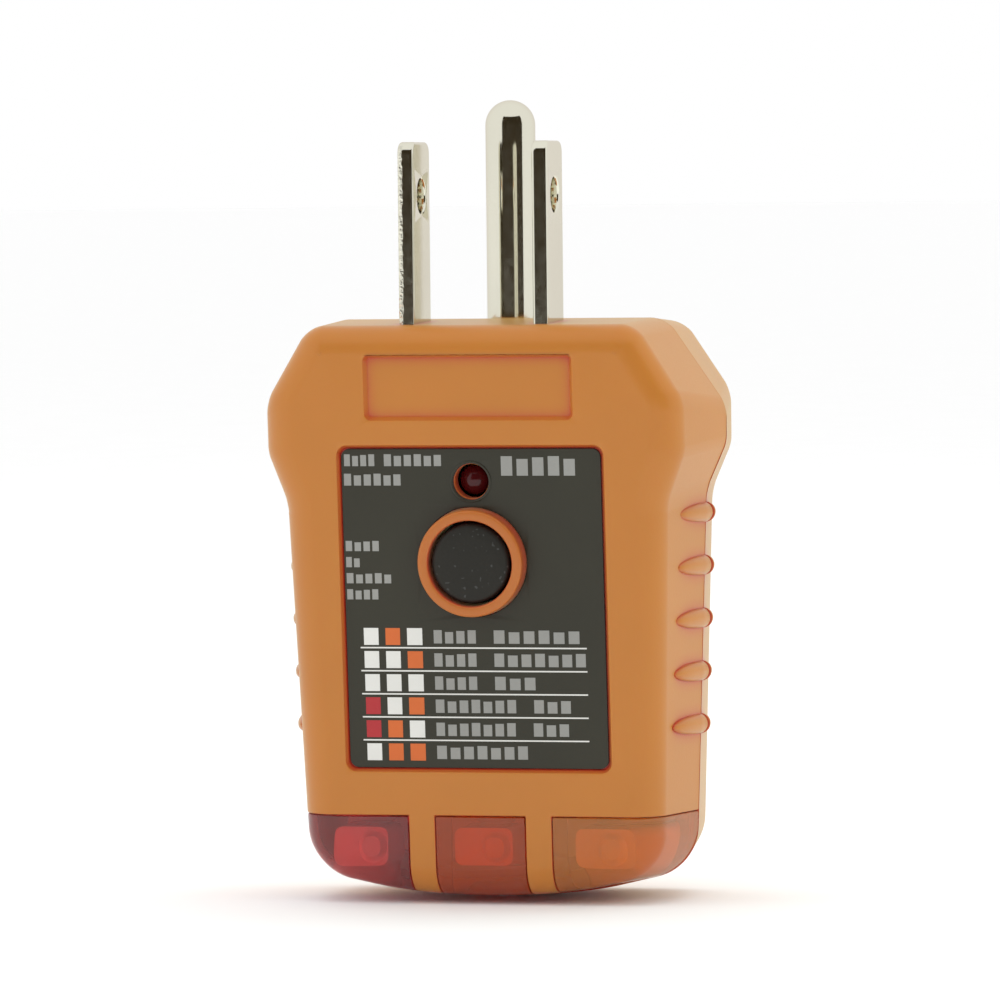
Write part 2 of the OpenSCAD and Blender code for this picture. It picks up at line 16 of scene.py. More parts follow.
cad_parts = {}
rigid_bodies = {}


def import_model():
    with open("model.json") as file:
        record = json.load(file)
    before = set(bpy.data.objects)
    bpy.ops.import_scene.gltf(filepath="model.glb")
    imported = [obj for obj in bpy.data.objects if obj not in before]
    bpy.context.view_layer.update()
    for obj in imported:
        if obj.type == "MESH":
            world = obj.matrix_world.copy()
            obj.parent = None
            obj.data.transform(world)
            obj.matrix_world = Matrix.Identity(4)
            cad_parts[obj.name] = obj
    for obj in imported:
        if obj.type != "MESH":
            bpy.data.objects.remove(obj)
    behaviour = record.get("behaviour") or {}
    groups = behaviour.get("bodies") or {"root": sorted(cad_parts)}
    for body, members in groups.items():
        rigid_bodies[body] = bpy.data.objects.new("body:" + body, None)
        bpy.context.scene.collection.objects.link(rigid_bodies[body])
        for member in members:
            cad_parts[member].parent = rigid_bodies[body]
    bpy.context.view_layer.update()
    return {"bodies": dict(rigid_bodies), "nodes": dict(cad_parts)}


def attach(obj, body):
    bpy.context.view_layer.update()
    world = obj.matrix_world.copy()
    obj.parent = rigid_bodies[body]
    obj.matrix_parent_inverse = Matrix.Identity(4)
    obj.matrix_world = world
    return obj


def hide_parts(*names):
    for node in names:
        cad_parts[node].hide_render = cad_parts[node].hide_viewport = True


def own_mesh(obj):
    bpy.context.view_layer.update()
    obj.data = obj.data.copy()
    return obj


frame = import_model()
nodes = frame["nodes"]
bodies = sorted(frame["bodies"])
print("bodies:", bodies, "nodes:", len(nodes))

# %% [markdown]
# ## Measures
# The body is two drafted halves that meet at a seam. Each half is described by the same few
# corners: where they are at the seam, and how far each has moved when it reaches the flat
# face or the flat back. The labelled face leans back a little, so a matrix carries its own
# plain coordinates (across, up the face, out of it) into the object's frame.

# %% Body measures
SEAM_Y = 6.7
BACK_Y = 17.0
FACE_Y = -6.2
LEAN = radians(4.4)
WALL = 2.0
FOOT_Z = -54.0
WAIST_X, WAIST_Z = 19.7, -15.9
SIDE_TAPER = 1.2 / 35.3
HALF = [(15.98, 0.0), (21.65, -8.2), (21.65, -11.5), (WAIST_X, WAIST_Z), (18.5, -51.23), (0.0, -55.16)]
FACE_MOVE = [(-0.63, -0.45), (-2.3, 1.07), (-2.3, -0.85), (-2.08, -1.1), (-2.05, 0.1), (0.0, 0.6)]
BACK_MOVE = [(-0.23, -0.5), (-1.7, 1.4), (-1.7, -0.5), (-1.6, -0.4), (-1.5, 0.3), (0.0, 0.5)]
ROUNDING = [(2.8, 8), (3.6, 8), (3.0, 6), (5.5, 10), (5.0, 14), (52.0, 24)]
FACE_BLEND, BACK_BLEND = 2.6, 1.8
LENS_TOP = -45.8
STRIP_INNER, STRIP_OUTER = 4.3, 6.8
BUTTON_DOWN, LAMP_DOWN = 22.3, 14.85
on_face = Matrix(((1, 0, 0, 0), (0, -sin(LEAN), -cos(LEAN), FACE_Y), (0, cos(LEAN), -sin(LEAN), 0),
                  (0, 0, 0, 1)))
on_back = Matrix(((-1, 0, 0, 0), (0, 0, 1, BACK_Y), (0, 1, 0, 0), (0, 0, 0, 1)))
on_seam = Matrix.Translation((0, SEAM_Y - BACK_Y, 0)) @ on_back


def face_y(z):
    return FACE_Y - tan(LEAN) * z


print("face leans", round(LEAN, 4), "rad; face at the foot is at y", round(face_y(FOOT_Z), 2))

# %% [markdown]
# ## Camera and light
# The tester stands almost square to a long lens, turned a little so that its right side
# shows. A white room lights it from all round, and a dark card stands where the camera is.
# The card is what gives bright metal its dark stripe: polished prongs show the room, and a
# room that is white all over would leave them flat. The card is hidden from the camera. Three
# soft lamps shape the body. They are hidden from reflections, because a lamp mirrored in the
# metal would burn out to plain white.

# %% Camera
azimuth, elevation, roll = radians(13.994), radians(2.396), radians(0.614)
aim = Vector((1.65, -0.29, -16.66))
CAMERA_FAR, LENS_LENGTH = 684.8, 266.6
back_axis = Vector((sin(azimuth) * cos(elevation), -cos(azimuth) * cos(elevation), sin(elevation)))
right_axis = Vector((cos(azimuth), sin(azimuth), 0))
up_axis = back_axis.cross(right_axis)
camera_x = cos(roll) * right_axis - sin(roll) * up_axis
camera_y = sin(roll) * right_axis + cos(roll) * up_axis
camera_data = bpy.data.cameras.new("camera")
camera_data.lens = LENS_LENGTH
camera_data.sensor_width = 36
camera_data.clip_start = 0.01
camera = bpy.data.objects.new("camera", camera_data)
turn = Matrix((camera_x, camera_y, back_axis)).transposed().to_4x4()
camera.matrix_world = Matrix.Translation((aim + CAMERA_FAR * back_axis) * 0.001) @ turn
bpy.context.collection.objects.link(camera)
bpy.context.scene.camera = camera
print("camera at", [round(c, 3) for c in camera.matrix_world.translation])

# %% Room light
scene = bpy.context.scene
scene.view_settings.view_transform = "Standard"
world = bpy.data.worlds.new("white_room")
scene.world = world
world.use_nodes = True
sky = world.node_tree.nodes["Background"]
sky.inputs["Color"].default_value = (1, 1, 1, 1)
sky.inputs["Strength"].default_value = 1.0
LIT_POINT = Vector((0, 0, -0.02))


def soft_light(name, place, size, power, tint=(1, 1, 1)):
    light = bpy.data.lights.new(name, "AREA")
    light.shape = "RECTANGLE"
    light.size, light.size_y = size
    light.energy = power
    light.color = tint
    lamp = bpy.data.objects.new(name, light)
    facing = (LIT_POINT - Vector(place)).to_track_quat("-Z", "Y").to_matrix().to_4x4()
    lamp.matrix_world = Matrix.Translation(place) @ facing
    lamp.visible_glossy = False
    bpy.context.collection.objects.link(lamp)


soft_light("right_softbox", (0.50, 0.26, 0.10), (0.5, 0.5), 0.72, (0.64, 1.0, 0.68))
soft_light("left_softbox", (-0.55, -0.05, 0.12), (0.5, 0.5), 0.15)
soft_light("top_softbox", (0.0, 0.05, 0.6), (0.6, 0.6), 1.0)


# %% Dark card behind the camera
def stage_sheet(name, bm, material):
    """Makes a sheet that belongs to the studio, not to the object."""
    mesh = bpy.data.meshes.new(name)
    bm.to_mesh(mesh)
    bm.free()
    mesh.materials.append(material)
    sheet = bpy.data.objects.new(name, mesh)
    bpy.context.collection.objects.link(sheet)
    return sheet


CARD_R, CARD_LOW, CARD_HIGH = 1.2, -0.30, 1.0
CARD_START, CARD_SWEEP = radians(-25), radians(95)
card_black = bpy.data.materials.new("card_black")
card_black.use_nodes = True
card_shader = card_black.node_tree.nodes["Principled BSDF"]
card_shader.inputs["Base Color"].default_value = (0.040, 0.030, 0.018, 1)
card_shader.inputs["Specular IOR Level"].default_value = 0.0
card_bm = bmesh.new()
ends = [card_bm.verts.new((CARD_R * sin(CARD_START), -CARD_R * cos(CARD_START), z))
        for z in (CARD_LOW, CARD_HIGH)]
bmesh.ops.spin(card_bm, geom=[*ends, card_bm.edges.new(ends)], cent=(0, 0, 0), axis=(0, 0, 1),
               dvec=(0, 0, 0), angle=CARD_SWEEP, steps=20, use_merge=False)
card = stage_sheet("dark_card", card_bm, card_black)
card.visible_camera = False
card.visible_transmission = False
card.visible_diffuse = False
print("card:", len(card.data.polygons), "faces")

# %% [markdown]
# ## Procedural finishes
# Every material reads Object coordinates, so its grain has a real size in metres and stays
# put. One helper makes the common recipe: a slow noise that shifts the colour slightly, a
# fine noise that breaks up the roughness, and the same fine noise as a shallow bump. Each
# finish then differs in its numbers, and the special ones add a few nodes of their own. Two
# smaller helpers add the nodes themselves, so that a recipe reads as a list of its steps.

# %% Node helpers
def add_node(tree, kind, **values):
    """Adds a shader node. Its inputs are named in lower case, with underscores for spaces."""
    made = tree.nodes.new("ShaderNode" + kind)
    for key, value in values.items():
        made.inputs[key.replace("_", " ").title()].default_value = value
    return made


def node_math(tree, operation, *operands):
    """Adds a Math node. Each operand is a number or the output of another node."""
    made = add_node(tree, "Math")
    made.operation = operation
    for socket, operand in zip(made.inputs, operands):
        if isinstance(operand, bpy.types.NodeSocket):
            tree.links.new(operand, socket)
        else:
            socket.default_value = operand
    return made.outputs[0]


print("node helpers ready")


# %% Finish helper
def finish(name, colour, spread=0.05, rough=0.45, rough_spread=0.08, grain=2500.0, relief=0.01, **sockets):
    material = bpy.data.materials.new(name)
    material.use_nodes = True
    tree = material.node_tree
    shader = tree.nodes["Principled BSDF"]
    place = add_node(tree, "TexCoord")
    place.name = "place"
    slow = add_node(tree, "TexNoise", scale=70.0, detail=3.0)
    fine = add_node(tree, "TexNoise", scale=grain, detail=2.0)
    shades = add_node(tree, "ValToRGB")
    shades.name = "shades"
    for stop, at, share in zip(shades.color_ramp.elements, (0.3, 0.7), (1 - spread, 1 + spread)):
        stop.position = at
        stop.color = [min(1.0, c * share) for c in colour] + [1.0]
    gloss = add_node(tree, "MapRange", to_min=max(0.0, rough - rough_spread),
                     to_max=min(1.0, rough + rough_spread))
    bump = add_node(tree, "Bump", strength=1.0, distance=relief * 0.001)
    links = tree.links
    for noise in (slow, fine):
        links.new(place.outputs["Object"], noise.inputs["Vector"])
    links.new(slow.outputs["Fac"], shades.inputs["Fac"])
    links.new(shades.outputs["Color"], shader.inputs["Base Color"])
    links.new(fine.outputs["Fac"], gloss.inputs["Value"])
    links.new(gloss.outputs["Result"], shader.inputs["Roughness"])
    links.new(fine.outputs["Fac"], bump.inputs["Height"])
    links.new(bump.outputs["Normal"], shader.inputs["Normal"])
    for key, value in sockets.items():
        shader.inputs[key.replace("_", " ").title().replace("Ior", "IOR")].default_value = value
    return material


print("finish helper ready")

# %% [markdown]
# ## Mesh helpers
# The shapes grow from a few vertices or a primitive. These helpers hold the moves that come
# back again and again: cutting a rectangle out of a flat face, fitting a round or rounded
# outline into it, turning a profile, drawing out a shaft, and softening the edges that are
# sharp. A real moulded edge is never knife sharp, and its small round catches the light.
# Places that are meant to be the same are compared with a tolerance of a thousandth.

# %% Mesh helpers
NEAR = 1e-3
SMOOTH_ANGLE = radians(35)


def soften(bm, edges, width, segments):
    bmesh.ops.bevel(bm, geom=edges, offset=width, offset_type="OFFSET", segments=segments, profile=0.5,
                    affect="EDGES", clamp_overlap=False, material=-1)


def sharp_edges(bm, angle, keep=lambda e: True):
    return [e for e in bm.edges
            if len(e.link_faces) == 2 and e.calc_face_angle(0) > radians(angle) and keep(e)]


def middle(edge):
    return (edge.verts[0].co + edge.verts[1].co) / 2


def with_borders(faces):
    edges = dict.fromkeys(e for f in faces for e in f.edges)
    verts = dict.fromkeys(v for f in faces for v in f.verts)
    return [*faces, *edges, *verts]


def verts_of(geometry):
    return [v for v in geometry if isinstance(v, bmesh.types.BMVert)]


def level_faces(bm, level):
    return [f for f in bm.faces if all(abs(v.co.z - level) < NEAR for v in f.verts)]


def grow(low, high, by):
    return (low[0] - by, low[1] - by), (high[0] + by, high[1] + by)


def overlaps(face, low, high):
    for i in (0, 1):
        along = [v.co[i] for v in face.verts]
        if min(along) > high[i] - NEAR or max(along) < low[i] + NEAR:
            return False
    return True


def cell(bm, level, low, high):
    """Cuts the flat face at this level along the sides of a rectangle, and returns the face inside."""
    for axis in (1, 0):
        for at in (low[axis], high[axis]):
            faces = [f for f in level_faces(bm, level) if overlaps(f, low, high)]
            normal = Vector((axis == 0, axis == 1, 0))
            bmesh.ops.bisect_plane(bm, geom=with_borders(faces), dist=1e-5, plane_co=normal * at,
                                   plane_no=normal)
    inside = [f for f in level_faces(bm, level)
              if all(low[i] < f.calc_center_median()[i] < high[i] for i in (0, 1))]
    if len(inside) > 1:
        inside = bmesh.ops.dissolve_faces(bm, faces=inside, use_verts=True)["region"]
    return inside[0]


def rounded_face(bm, level, low, high, radius, steps):
    corners = [bm.verts.new((x, y, level)) for x, y in
               ((low[0], low[1]), (high[0], low[1]), (high[0], high[1]), (low[0], high[1]))]
    bm.faces.new(corners)
    made = bmesh.ops.bevel(bm, geom=corners, offset=radius, offset_type="OFFSET", segments=steps, profile=0.5,
                           affect="VERTICES", clamp_overlap=False, material=-1)
    return made["verts"][0].link_faces[0]


def round_face(bm, level, centre, radius, steps=48):
    made = bmesh.ops.create_circle(bm, cap_ends=True, radius=radius, segments=steps,
                                   matrix=Matrix.Translation((centre[0], centre[1], level)))
    return made["verts"][0].link_faces[0]


def fit_in(bm, outer, inner):
    """Fills the gap between the rim of a cell and a new face that lies inside it."""
    rims = list(outer.edges) + list(inner.edges)
    level = inner.verts[0].co.z
    bmesh.ops.delete(bm, geom=[outer], context="FACES_ONLY")
    bmesh.ops.triangle_fill(bm, use_beauty=True, use_dissolve=False, edges=rims, normal=(0, 0, 1))
    bm.normal_update()
    for face in level_faces(bm, level):
        if face.normal.z < 0:
            face.normal_flip()
    return inner


def sink(bm, face, depth, draft=0.0, lip=0.0):
    """Pushes a face in. Its rim is rounded in three small insets that follow a quarter circle."""
    steps = []
    for k in range(3 if lip else 0):
        a, b = radians(30 * k), radians(30 * (k + 1))
        steps.append((lip * (sin(b) - sin(a)), lip * (cos(a) - cos(b))))
    if depth > lip:
        steps.append((max(draft, NEAR), depth - lip))
    for thickness, drop in steps:
        bm.normal_update()
        bmesh.ops.inset_region(bm, faces=[face], thickness=thickness, depth=-drop, use_even_offset=True,
                               use_boundary=True)


def tunnel(bm, level_a, level_b, centre, radius, margin, steps=48, lip=0.0):
    """A round hole between two flat levels, with a rounded rim at the first."""
    rims = []
    for level, soft in ((level_a, lip), (level_b, 0.0)):
        low = (centre[0] - radius - soft - margin, centre[1] - radius - soft - margin)
        high = (centre[0] + radius + soft + margin, centre[1] + radius + soft + margin)
        disc = fit_in(bm, cell(bm, level, low, high), round_face(bm, level, centre, radius + soft, steps))
        sink(bm, disc, soft, lip=soft)
        rims += list(disc.edges)
        bmesh.ops.delete(bm, geom=[disc], context="FACES_ONLY")
    bmesh.ops.bridge_loops(bm, edges=rims)
    bmesh.ops.recalc_face_normals(bm, faces=bm.faces)


def turned(bm, profile, steps):
    """Spins a profile of radius and height once round."""
    verts = [bm.verts.new((r, 0, z)) for r, z in profile]
    edges = [bm.edges.new(pair) for pair in zip(verts, verts[1:])]
    bmesh.ops.spin(bm, geom=verts + edges, cent=(0, 0, 0), axis=(0, 0, 1), dvec=(0, 0, 0), angle=2 * pi,
                   steps=steps, use_merge=True)
    bmesh.ops.remove_doubles(bm, verts=bm.verts, dist=1e-4)


def cut_away(bm, point, normal):
    """Cuts a solid with a plane, throws away the side that the normal points to, and caps it."""
    cut = bmesh.ops.bisect_plane(bm, geom=bm.verts[:] + bm.edges[:] + bm.faces[:], dist=1e-5, plane_co=point,
                                 plane_no=normal, clear_outer=True)
    edges = [e for e in cut["geom_cut"] if isinstance(e, bmesh.types.BMEdge)]
    bmesh.ops.contextual_create(bm, geom=edges)


def draw_down(bm, depth):
    """Draws the flat cap of a half ball down into a straight shaft."""
    cap = [f for f in bm.faces if len(f.verts) > 10]
    shaft = bmesh.ops.extrude_face_region(bm, geom=cap)["geom"]
    bmesh.ops.delete(bm, geom=[f for f in cap if f.is_valid], context="FACES_ONLY")
    bmesh.ops.translate(bm, verts=verts_of(shaft), vec=(0, 0, -depth))


def join_in(bm, part):
    """Adds a finished shape to a piece that is made of several."""
    mesh = bpy.data.meshes.new("part")
    part.to_mesh(mesh)
    part.free()
    bm.from_mesh(mesh)
    bpy.data.meshes.remove(mesh)


def piece(name, bm, body, material, replaces=(), weighted=True):
    """Makes an object of a mesh in millimetres, gives it its materials, ties it to its body and hides the CAD
    nodes that it stands in for.
    """
    bmesh.ops.transform(bm, matrix=Matrix.Scale(0.001, 4), verts=bm.verts)
    bmesh.ops.recalc_face_normals(bm, faces=bm.faces)
    mesh = bpy.data.meshes.new(name)
    open_edges = sum(not e.is_manifold for e in bm.edges)
    bm.to_mesh(mesh)
    bm.free()
    mesh.polygons.foreach_set("use_smooth", [True] * len(mesh.polygons))
    mesh.set_sharp_from_angle(angle=SMOOTH_ANGLE)
    made = bpy.data.objects.new(name, mesh)
    bpy.context.collection.objects.link(made)
    for one in material if isinstance(material, list) else [material]:
        mesh.materials.append(one)
    if weighted:
        weigh = made.modifiers.new("weighted_normals", "WEIGHTED_NORMAL")
        weigh.keep_sharp = True
        weigh.weight = 90
    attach(made, body)
    if replaces:
        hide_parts(*replaces)
    print(name, "-", len(mesh.polygons), "faces,", open_edges, "open edges")
    return made


# %% [markdown]
# ## The orange shell
# The real shell is injection moulded in two halves from a tough, slightly glossy plastic
# with a fine spark texture. A box with rounded corners would miss its draft, so each half
# starts as the seam outline, is extruded to the face or back, and every far corner is moved
# to its own place. The corner edges are then beveled to their radii, and last the far rim.

# %% Shell material
ORANGE, COLLAR_ORANGE = (0.505, 0.174, 0.012), (0.46, 0.13, 0.009)
# Painted shade: the deep red that the shell's colour is mixed towards in corners and along steps.
PAINTED_CREVICE_SHADE = (0.52, 0.035, 0.016)


def orange_with_painted_shade(name, colour, reach):
    """A finish with painted shade: its colour turns deep red where the plastic is sheltered, in corners and
    along steps, standing in for light that bounces inside the plastic there.
    """
    plastic = finish(name, colour, spread=0.03, rough=0.36, rough_spread=0.05, grain=5200, relief=0.006,
                     specular_ior_level=0.6, subsurface_weight=0.2, subsurface_scale=0.0008, sheen_weight=0.2,
                     sheen_roughness=0.35)
    tree = plastic.node_tree
    shader = tree.nodes["Principled BSDF"]
    shader.inputs["Subsurface Radius"].default_value = (1.0, 0.35, 0.1)
    shader.inputs["Sheen Tint"].default_value = (0.7, 1.0, 0.5, 1)
    # Painted shade: an ambient-occlusion mask mixes the colour towards deep red in sheltered places.
    shelter = add_node(tree, "AmbientOcclusion", distance=reach)
    shelter.samples = 8
    unshaded_share = add_node(tree, "MapRange", from_min=0.6, from_max=0.97)
    painted_shade_mix = add_node(tree, "Mix")
    painted_shade_mix.data_type = "RGBA"
    painted_shade_mix.inputs["A"].default_value = (*PAINTED_CREVICE_SHADE, 1)
    tree.links.new(shelter.outputs["AO"], unshaded_share.inputs["Value"])
    tree.links.new(unshaded_share.outputs["Result"], painted_shade_mix.inputs["Factor"])
    tree.links.new(tree.nodes["shades"].outputs["Color"], painted_shade_mix.inputs["B"])
    tree.links.new(painted_shade_mix.outputs["Result"], shader.inputs["Base Color"])
    return plastic


orange = orange_with_painted_shade("orange_shell", ORANGE, 0.0012)
# The collar's copy is a little darker and spreads its painted shade further out from its walls.
collar_orange = orange_with_painted_shade("orange_collar", COLLAR_ORANGE, 0.0030)
print(orange.name, collar_orange.name)


# %% One half of the body
def whole(points):
    return points + [(-x, z) for x, z in reversed(points[:-1])]


def corner_turn(points, i):
    (ax, az), (bx, bz), (cx, cz) = (points[(i + k) % len(points)] for k in (-1, 0, 1))
    turn_angle = atan2(cz - bz, cx - bx) - atan2(bz - az, bx - ax)
    return abs((turn_angle + pi) % (2 * pi) - pi)


def body_half(move, far_y, blend):
    near = whole(HALF)
    far = whole([(x + dx, z + dz) for (x, z), (dx, dz) in zip(HALF, move)])
    bm = bmesh.new()
    seam = bm.faces.new([bm.verts.new((x, SEAM_Y, z)) for x, z in near])
    grown = bmesh.ops.extrude_face_region(bm, geom=[seam])["geom"]
    for vert in verts_of(grown):
        i = min(range(len(near)), key=lambda k: (Vector(near[k]) - vert.co.xz).length)
        vert.co = (far[i][0], far_y(far[i][1]), far[i][1])
    rounding = ROUNDING + ROUNDING[-2::-1]
    for i, (radius, steps) in enumerate(rounding):
        (near_x, near_z), (far_x, far_z) = near[i], far[i]
        ends = (Vector((near_x, SEAM_Y, near_z)), Vector((far_x, far_y(far_z), far_z)))
        edge = [e for e in bm.edges
                if all(min((v.co - end).length for end in ends) < 1e-4 for v in e.verts)]
        soften(bm, edge, radius * tan(corner_turn(near, i) / 2), steps)
    far_face = [f for f in bm.faces if all(abs(v.co.y - far_y(v.co.z)) < NEAR for v in f.verts)]
    soften(bm, list(far_face[0].edges), blend, 8)
    return bm


CAVITY_TAPER_X, CAVITY_TAPER_Z, CAVITY_Z = 0.92, 0.975, -27


def hollow_out(bm, wall, floor_y):
    """Makes the seam face the mouth of a cavity whose floor follows the outer face."""
    seam = [f for f in bm.faces if all(abs(v.co.y - SEAM_Y) < NEAR for v in f.verts)]
    bmesh.ops.inset_region(bm, faces=seam, thickness=wall, use_even_offset=True, use_boundary=True)
    inner = bmesh.ops.extrude_face_region(bm, geom=seam)["geom"]
    for vert in verts_of(inner):
        x, z = vert.co.x * CAVITY_TAPER_X, CAVITY_Z + (vert.co.z - CAVITY_Z) * CAVITY_TAPER_Z
        vert.co = (x, floor_y(z), z)
    bmesh.ops.delete(bm, geom=[f for f in seam if f.is_valid], context="FACES_ONLY")


print("corners of the outline:", len(whole(HALF)))

# %% [markdown]
# ## The front shell
# The labelled face carries a blank name recess, the label's recess with a drafted edge, the
# hole over the status lamp and the hole for the collar. Each is cut as a rectangle in the
# flat face, given a round or rounded outline, and then pushed in or opened. The windows at
# the foot are cut last by planes, and the cut walls are closed one plane at a time.

# %% Front shell
NAME_LOW, NAME_HIGH = (-9.97, -9.23), (9.97, -2.95)
LABEL_LOW, LABEL_HIGH = (-12.75, -41.95), (12.75, -11.35)
LABEL_SINK = 0.6
RECESSES = ((NAME_LOW, NAME_HIGH, 0.5, 0.7, 0.6), (LABEL_LOW, LABEL_HIGH, LABEL_SINK, 1.1, 0.4))
RECESS_DRAFT, RECESS_LIP = 0.30, 0.12
COLLAR_HOLE_R, LAMP_HOLE_R = 4.6, 1.62
SEAM_ROUND, WINDOW_ROUND = 0.12, 0.15


def face_features(bm):
    bm.transform(on_face.inverted())
    for low, high, depth, radius, margin in RECESSES:
        outer = cell(bm, 0.0, *grow(low, high, margin))
        floor = fit_in(bm, outer, rounded_face(bm, 0.0, low, high, radius, 6))
        sink(bm, floor, depth, RECESS_DRAFT, RECESS_LIP)
    tunnel(bm, -LABEL_SINK, -WALL, (0, -BUTTON_DOWN), COLLAR_HOLE_R, 0.6)
    tunnel(bm, -LABEL_SINK, -WALL, (0, -LAMP_DOWN), LAMP_HOLE_R, 0.3, 40, 0.04)
    bm.transform(on_face)


def split_where(bm, point, normal, keep):
    faces = [f for f in bm.faces if keep(f.calc_center_median())]
    bmesh.ops.bisect_plane(bm, geom=with_borders(faces), dist=1e-5, plane_co=point, plane_no=normal)


def open_windows(bm):
    split_where(bm, (0, 0, LENS_TOP), (0, 0, 1), lambda c: True)
    sides = (-STRIP_OUTER, -STRIP_INNER, STRIP_INNER, STRIP_OUTER)
    for x in sides:
        split_where(bm, (x, 0, 0), (1, 0, 0), lambda c: c.z < LENS_TOP)
    doomed = [f for f in bm.faces if f.calc_center_median().z < LENS_TOP
              and not STRIP_INNER < abs(f.calc_center_median().x) < STRIP_OUTER]
    bmesh.ops.delete(bm, geom=doomed, context="FACES")
    for x in sides:
        bm.edges.new([v for v in bm.verts if abs(v.co.x - x) < NEAR and abs(v.co.z - LENS_TOP) < NEAR
                      and any(e.is_boundary for e in v.link_edges)])
    spans = ((-inf, -STRIP_OUTER), (-STRIP_INNER, STRIP_INNER), (STRIP_OUTER, inf))
    for low, high in spans:
        top = [e for e in bm.edges if len(e.link_faces) < 2 and all(
            abs(v.co.z - LENS_TOP) < NEAR and low - NEAR < v.co.x < high + NEAR for v in e.verts)]
        bmesh.ops.contextual_create(bm, geom=top)
    for x in sides:
        wall = [e for e in bm.edges if len(e.link_faces) < 2 and all(
            abs(v.co.x - x) < NEAR and v.co.z < LENS_TOP + NEAR for v in e.verts)]
        bmesh.ops.contextual_create(bm, geom=wall)


def round_seam(bm):
    soften(bm, sharp_edges(bm, 50, lambda e: abs(middle(e).y - SEAM_Y) < NEAR), SEAM_ROUND, 2)


front = body_half(FACE_MOVE, face_y, FACE_BLEND)
hollow_out(front, WALL, lambda z: face_y(z) + WALL / cos(LEAN))
face_features(front)
open_windows(front)
window_rims = sharp_edges(front, 50, lambda e: middle(e).z < LENS_TOP + NEAR and middle(e).y < SEAM_Y - 0.01)
soften(front, window_rims, WINDOW_ROUND, 2)
round_seam(front)
piece("front_case", front, "housing", orange, ["front_shell"])

# %% [markdown]
# ## Back shell and grip ribs
# The back half comes from the same corners with its own draft. It is plain on purpose: two
# deep screw holes and a shallow seat for a rating label. The ribs that stop wet fingers from
# slipping are slim drops that lie across the seam, so each is a sphere stretched to the
# front and, less, to the back, and cut where the two shells part.

# %% Back shell
REAR_LOW, REAR_HIGH = (-11.5, -40.0), (11.5, -22.0)
SCREWS = [(-13.0, -14.0), (13.0, -14.0)]
WELL_R, WELL_DEPTH = 3.0, 1.9
back = body_half(BACK_MOVE, lambda z: BACK_Y, BACK_BLEND)
hollow_out(back, WALL, lambda z: BACK_Y - WALL)
back.transform(on_back.inverted())
seat = fit_in(back, cell(back, 0.0, *grow(REAR_LOW, REAR_HIGH, 0.6)),
              rounded_face(back, 0.0, REAR_LOW, REAR_HIGH, 1.0, 6))
sink(back, seat, 0.3, 0.05, 0.1)
for place in SCREWS:
    well = fit_in(back, cell(back, 0.0, *grow(place, place, WELL_R + 0.8)),
                  round_face(back, 0.0, place, WELL_R))
    sink(back, well, WELL_DEPTH, 0.05, 0.2)
back.transform(on_back)
round_seam(back)
piece("back_case", back, "housing", orange, ["back_shell"])

# %% Ribs
# For each half: the way that its ribs point from the seam, how far they reach, how far their
# axis stands out from the side, and how much they lean into it.
RIB_R, RIB_PITCH, RIB_TOP, RIB_COUNT = 0.95, 4.92, -18.05, 5
RIB_HALVES = {"front": (-1, 6.4, -0.25, -9.4), "back": (1, 4.0, -0.1, 9.4)}
for half, (toward, reach, proud, lean) in RIB_HALVES.items():
    ribs = bmesh.new()
    for k in range(RIB_COUNT):
        z = RIB_TOP - k * RIB_PITCH
        x = WAIST_X + (z - WAIST_Z) * SIDE_TAPER + proud
        for side in (-1, 1):
            rib = bmesh.new()
            bmesh.ops.create_uvsphere(rib, u_segments=24, v_segments=24, radius=1.0)
            bmesh.ops.scale(rib, verts=rib.verts, vec=(RIB_R, reach, RIB_R))
            cut_away(rib, (0, 0, 0), (0, -toward, 0))
            soften(rib, sharp_edges(rib, 60), 0.1, 2)
            lie = Matrix.Rotation(radians(side * lean), 4, "Z")
            rib.transform(Matrix.Translation((side * x, SEAM_Y, z)) @ lie)
            join_in(ribs, rib)
    piece(half + "_ribs", ribs, "housing", orange, [half + "_shell"])

# %% [markdown]
# ## Collar, button and status lamp
# A collar stands round the button so that it can't be pressed by accident. Collar and button
# are turned shapes: a profile of a few points is spun once round and its sharp rings are
# rounded. The button's flange stays just under the collar's foot, which stops it from falling
# out. The lamp is half a ball with a shaft drawn down from it. All three are made in the
# face's own coordinates and then carried over.

# %% Collar
def face_place(down):
    return on_face @ Matrix.Translation((0, -down, 0))


CAP_R, BORE_R, FLANGE_R = 3.7, 3.98, 4.7
COLLAR_FOOT, COLLAR_TOP = -2.2, 1.2
FLANGE_TOP, FLANGE_FOOT, STEM_FOOT = -2.32, -3.1, -4.1
collar = bmesh.new()
turned(collar, [(BORE_R, COLLAR_FOOT), (FLANGE_R, COLLAR_FOOT), (FLANGE_R, -WALL), (5.06, -0.62),
                (4.94, COLLAR_TOP), (BORE_R, COLLAR_TOP), (BORE_R, COLLAR_FOOT)], 96)
soften(collar, sharp_edges(collar, 50, lambda e: middle(e).z > 1.0), 0.25, 4)
collar.transform(face_place(BUTTON_DOWN))
piece("button_collar", collar, "housing", collar_orange, ["front_shell"])

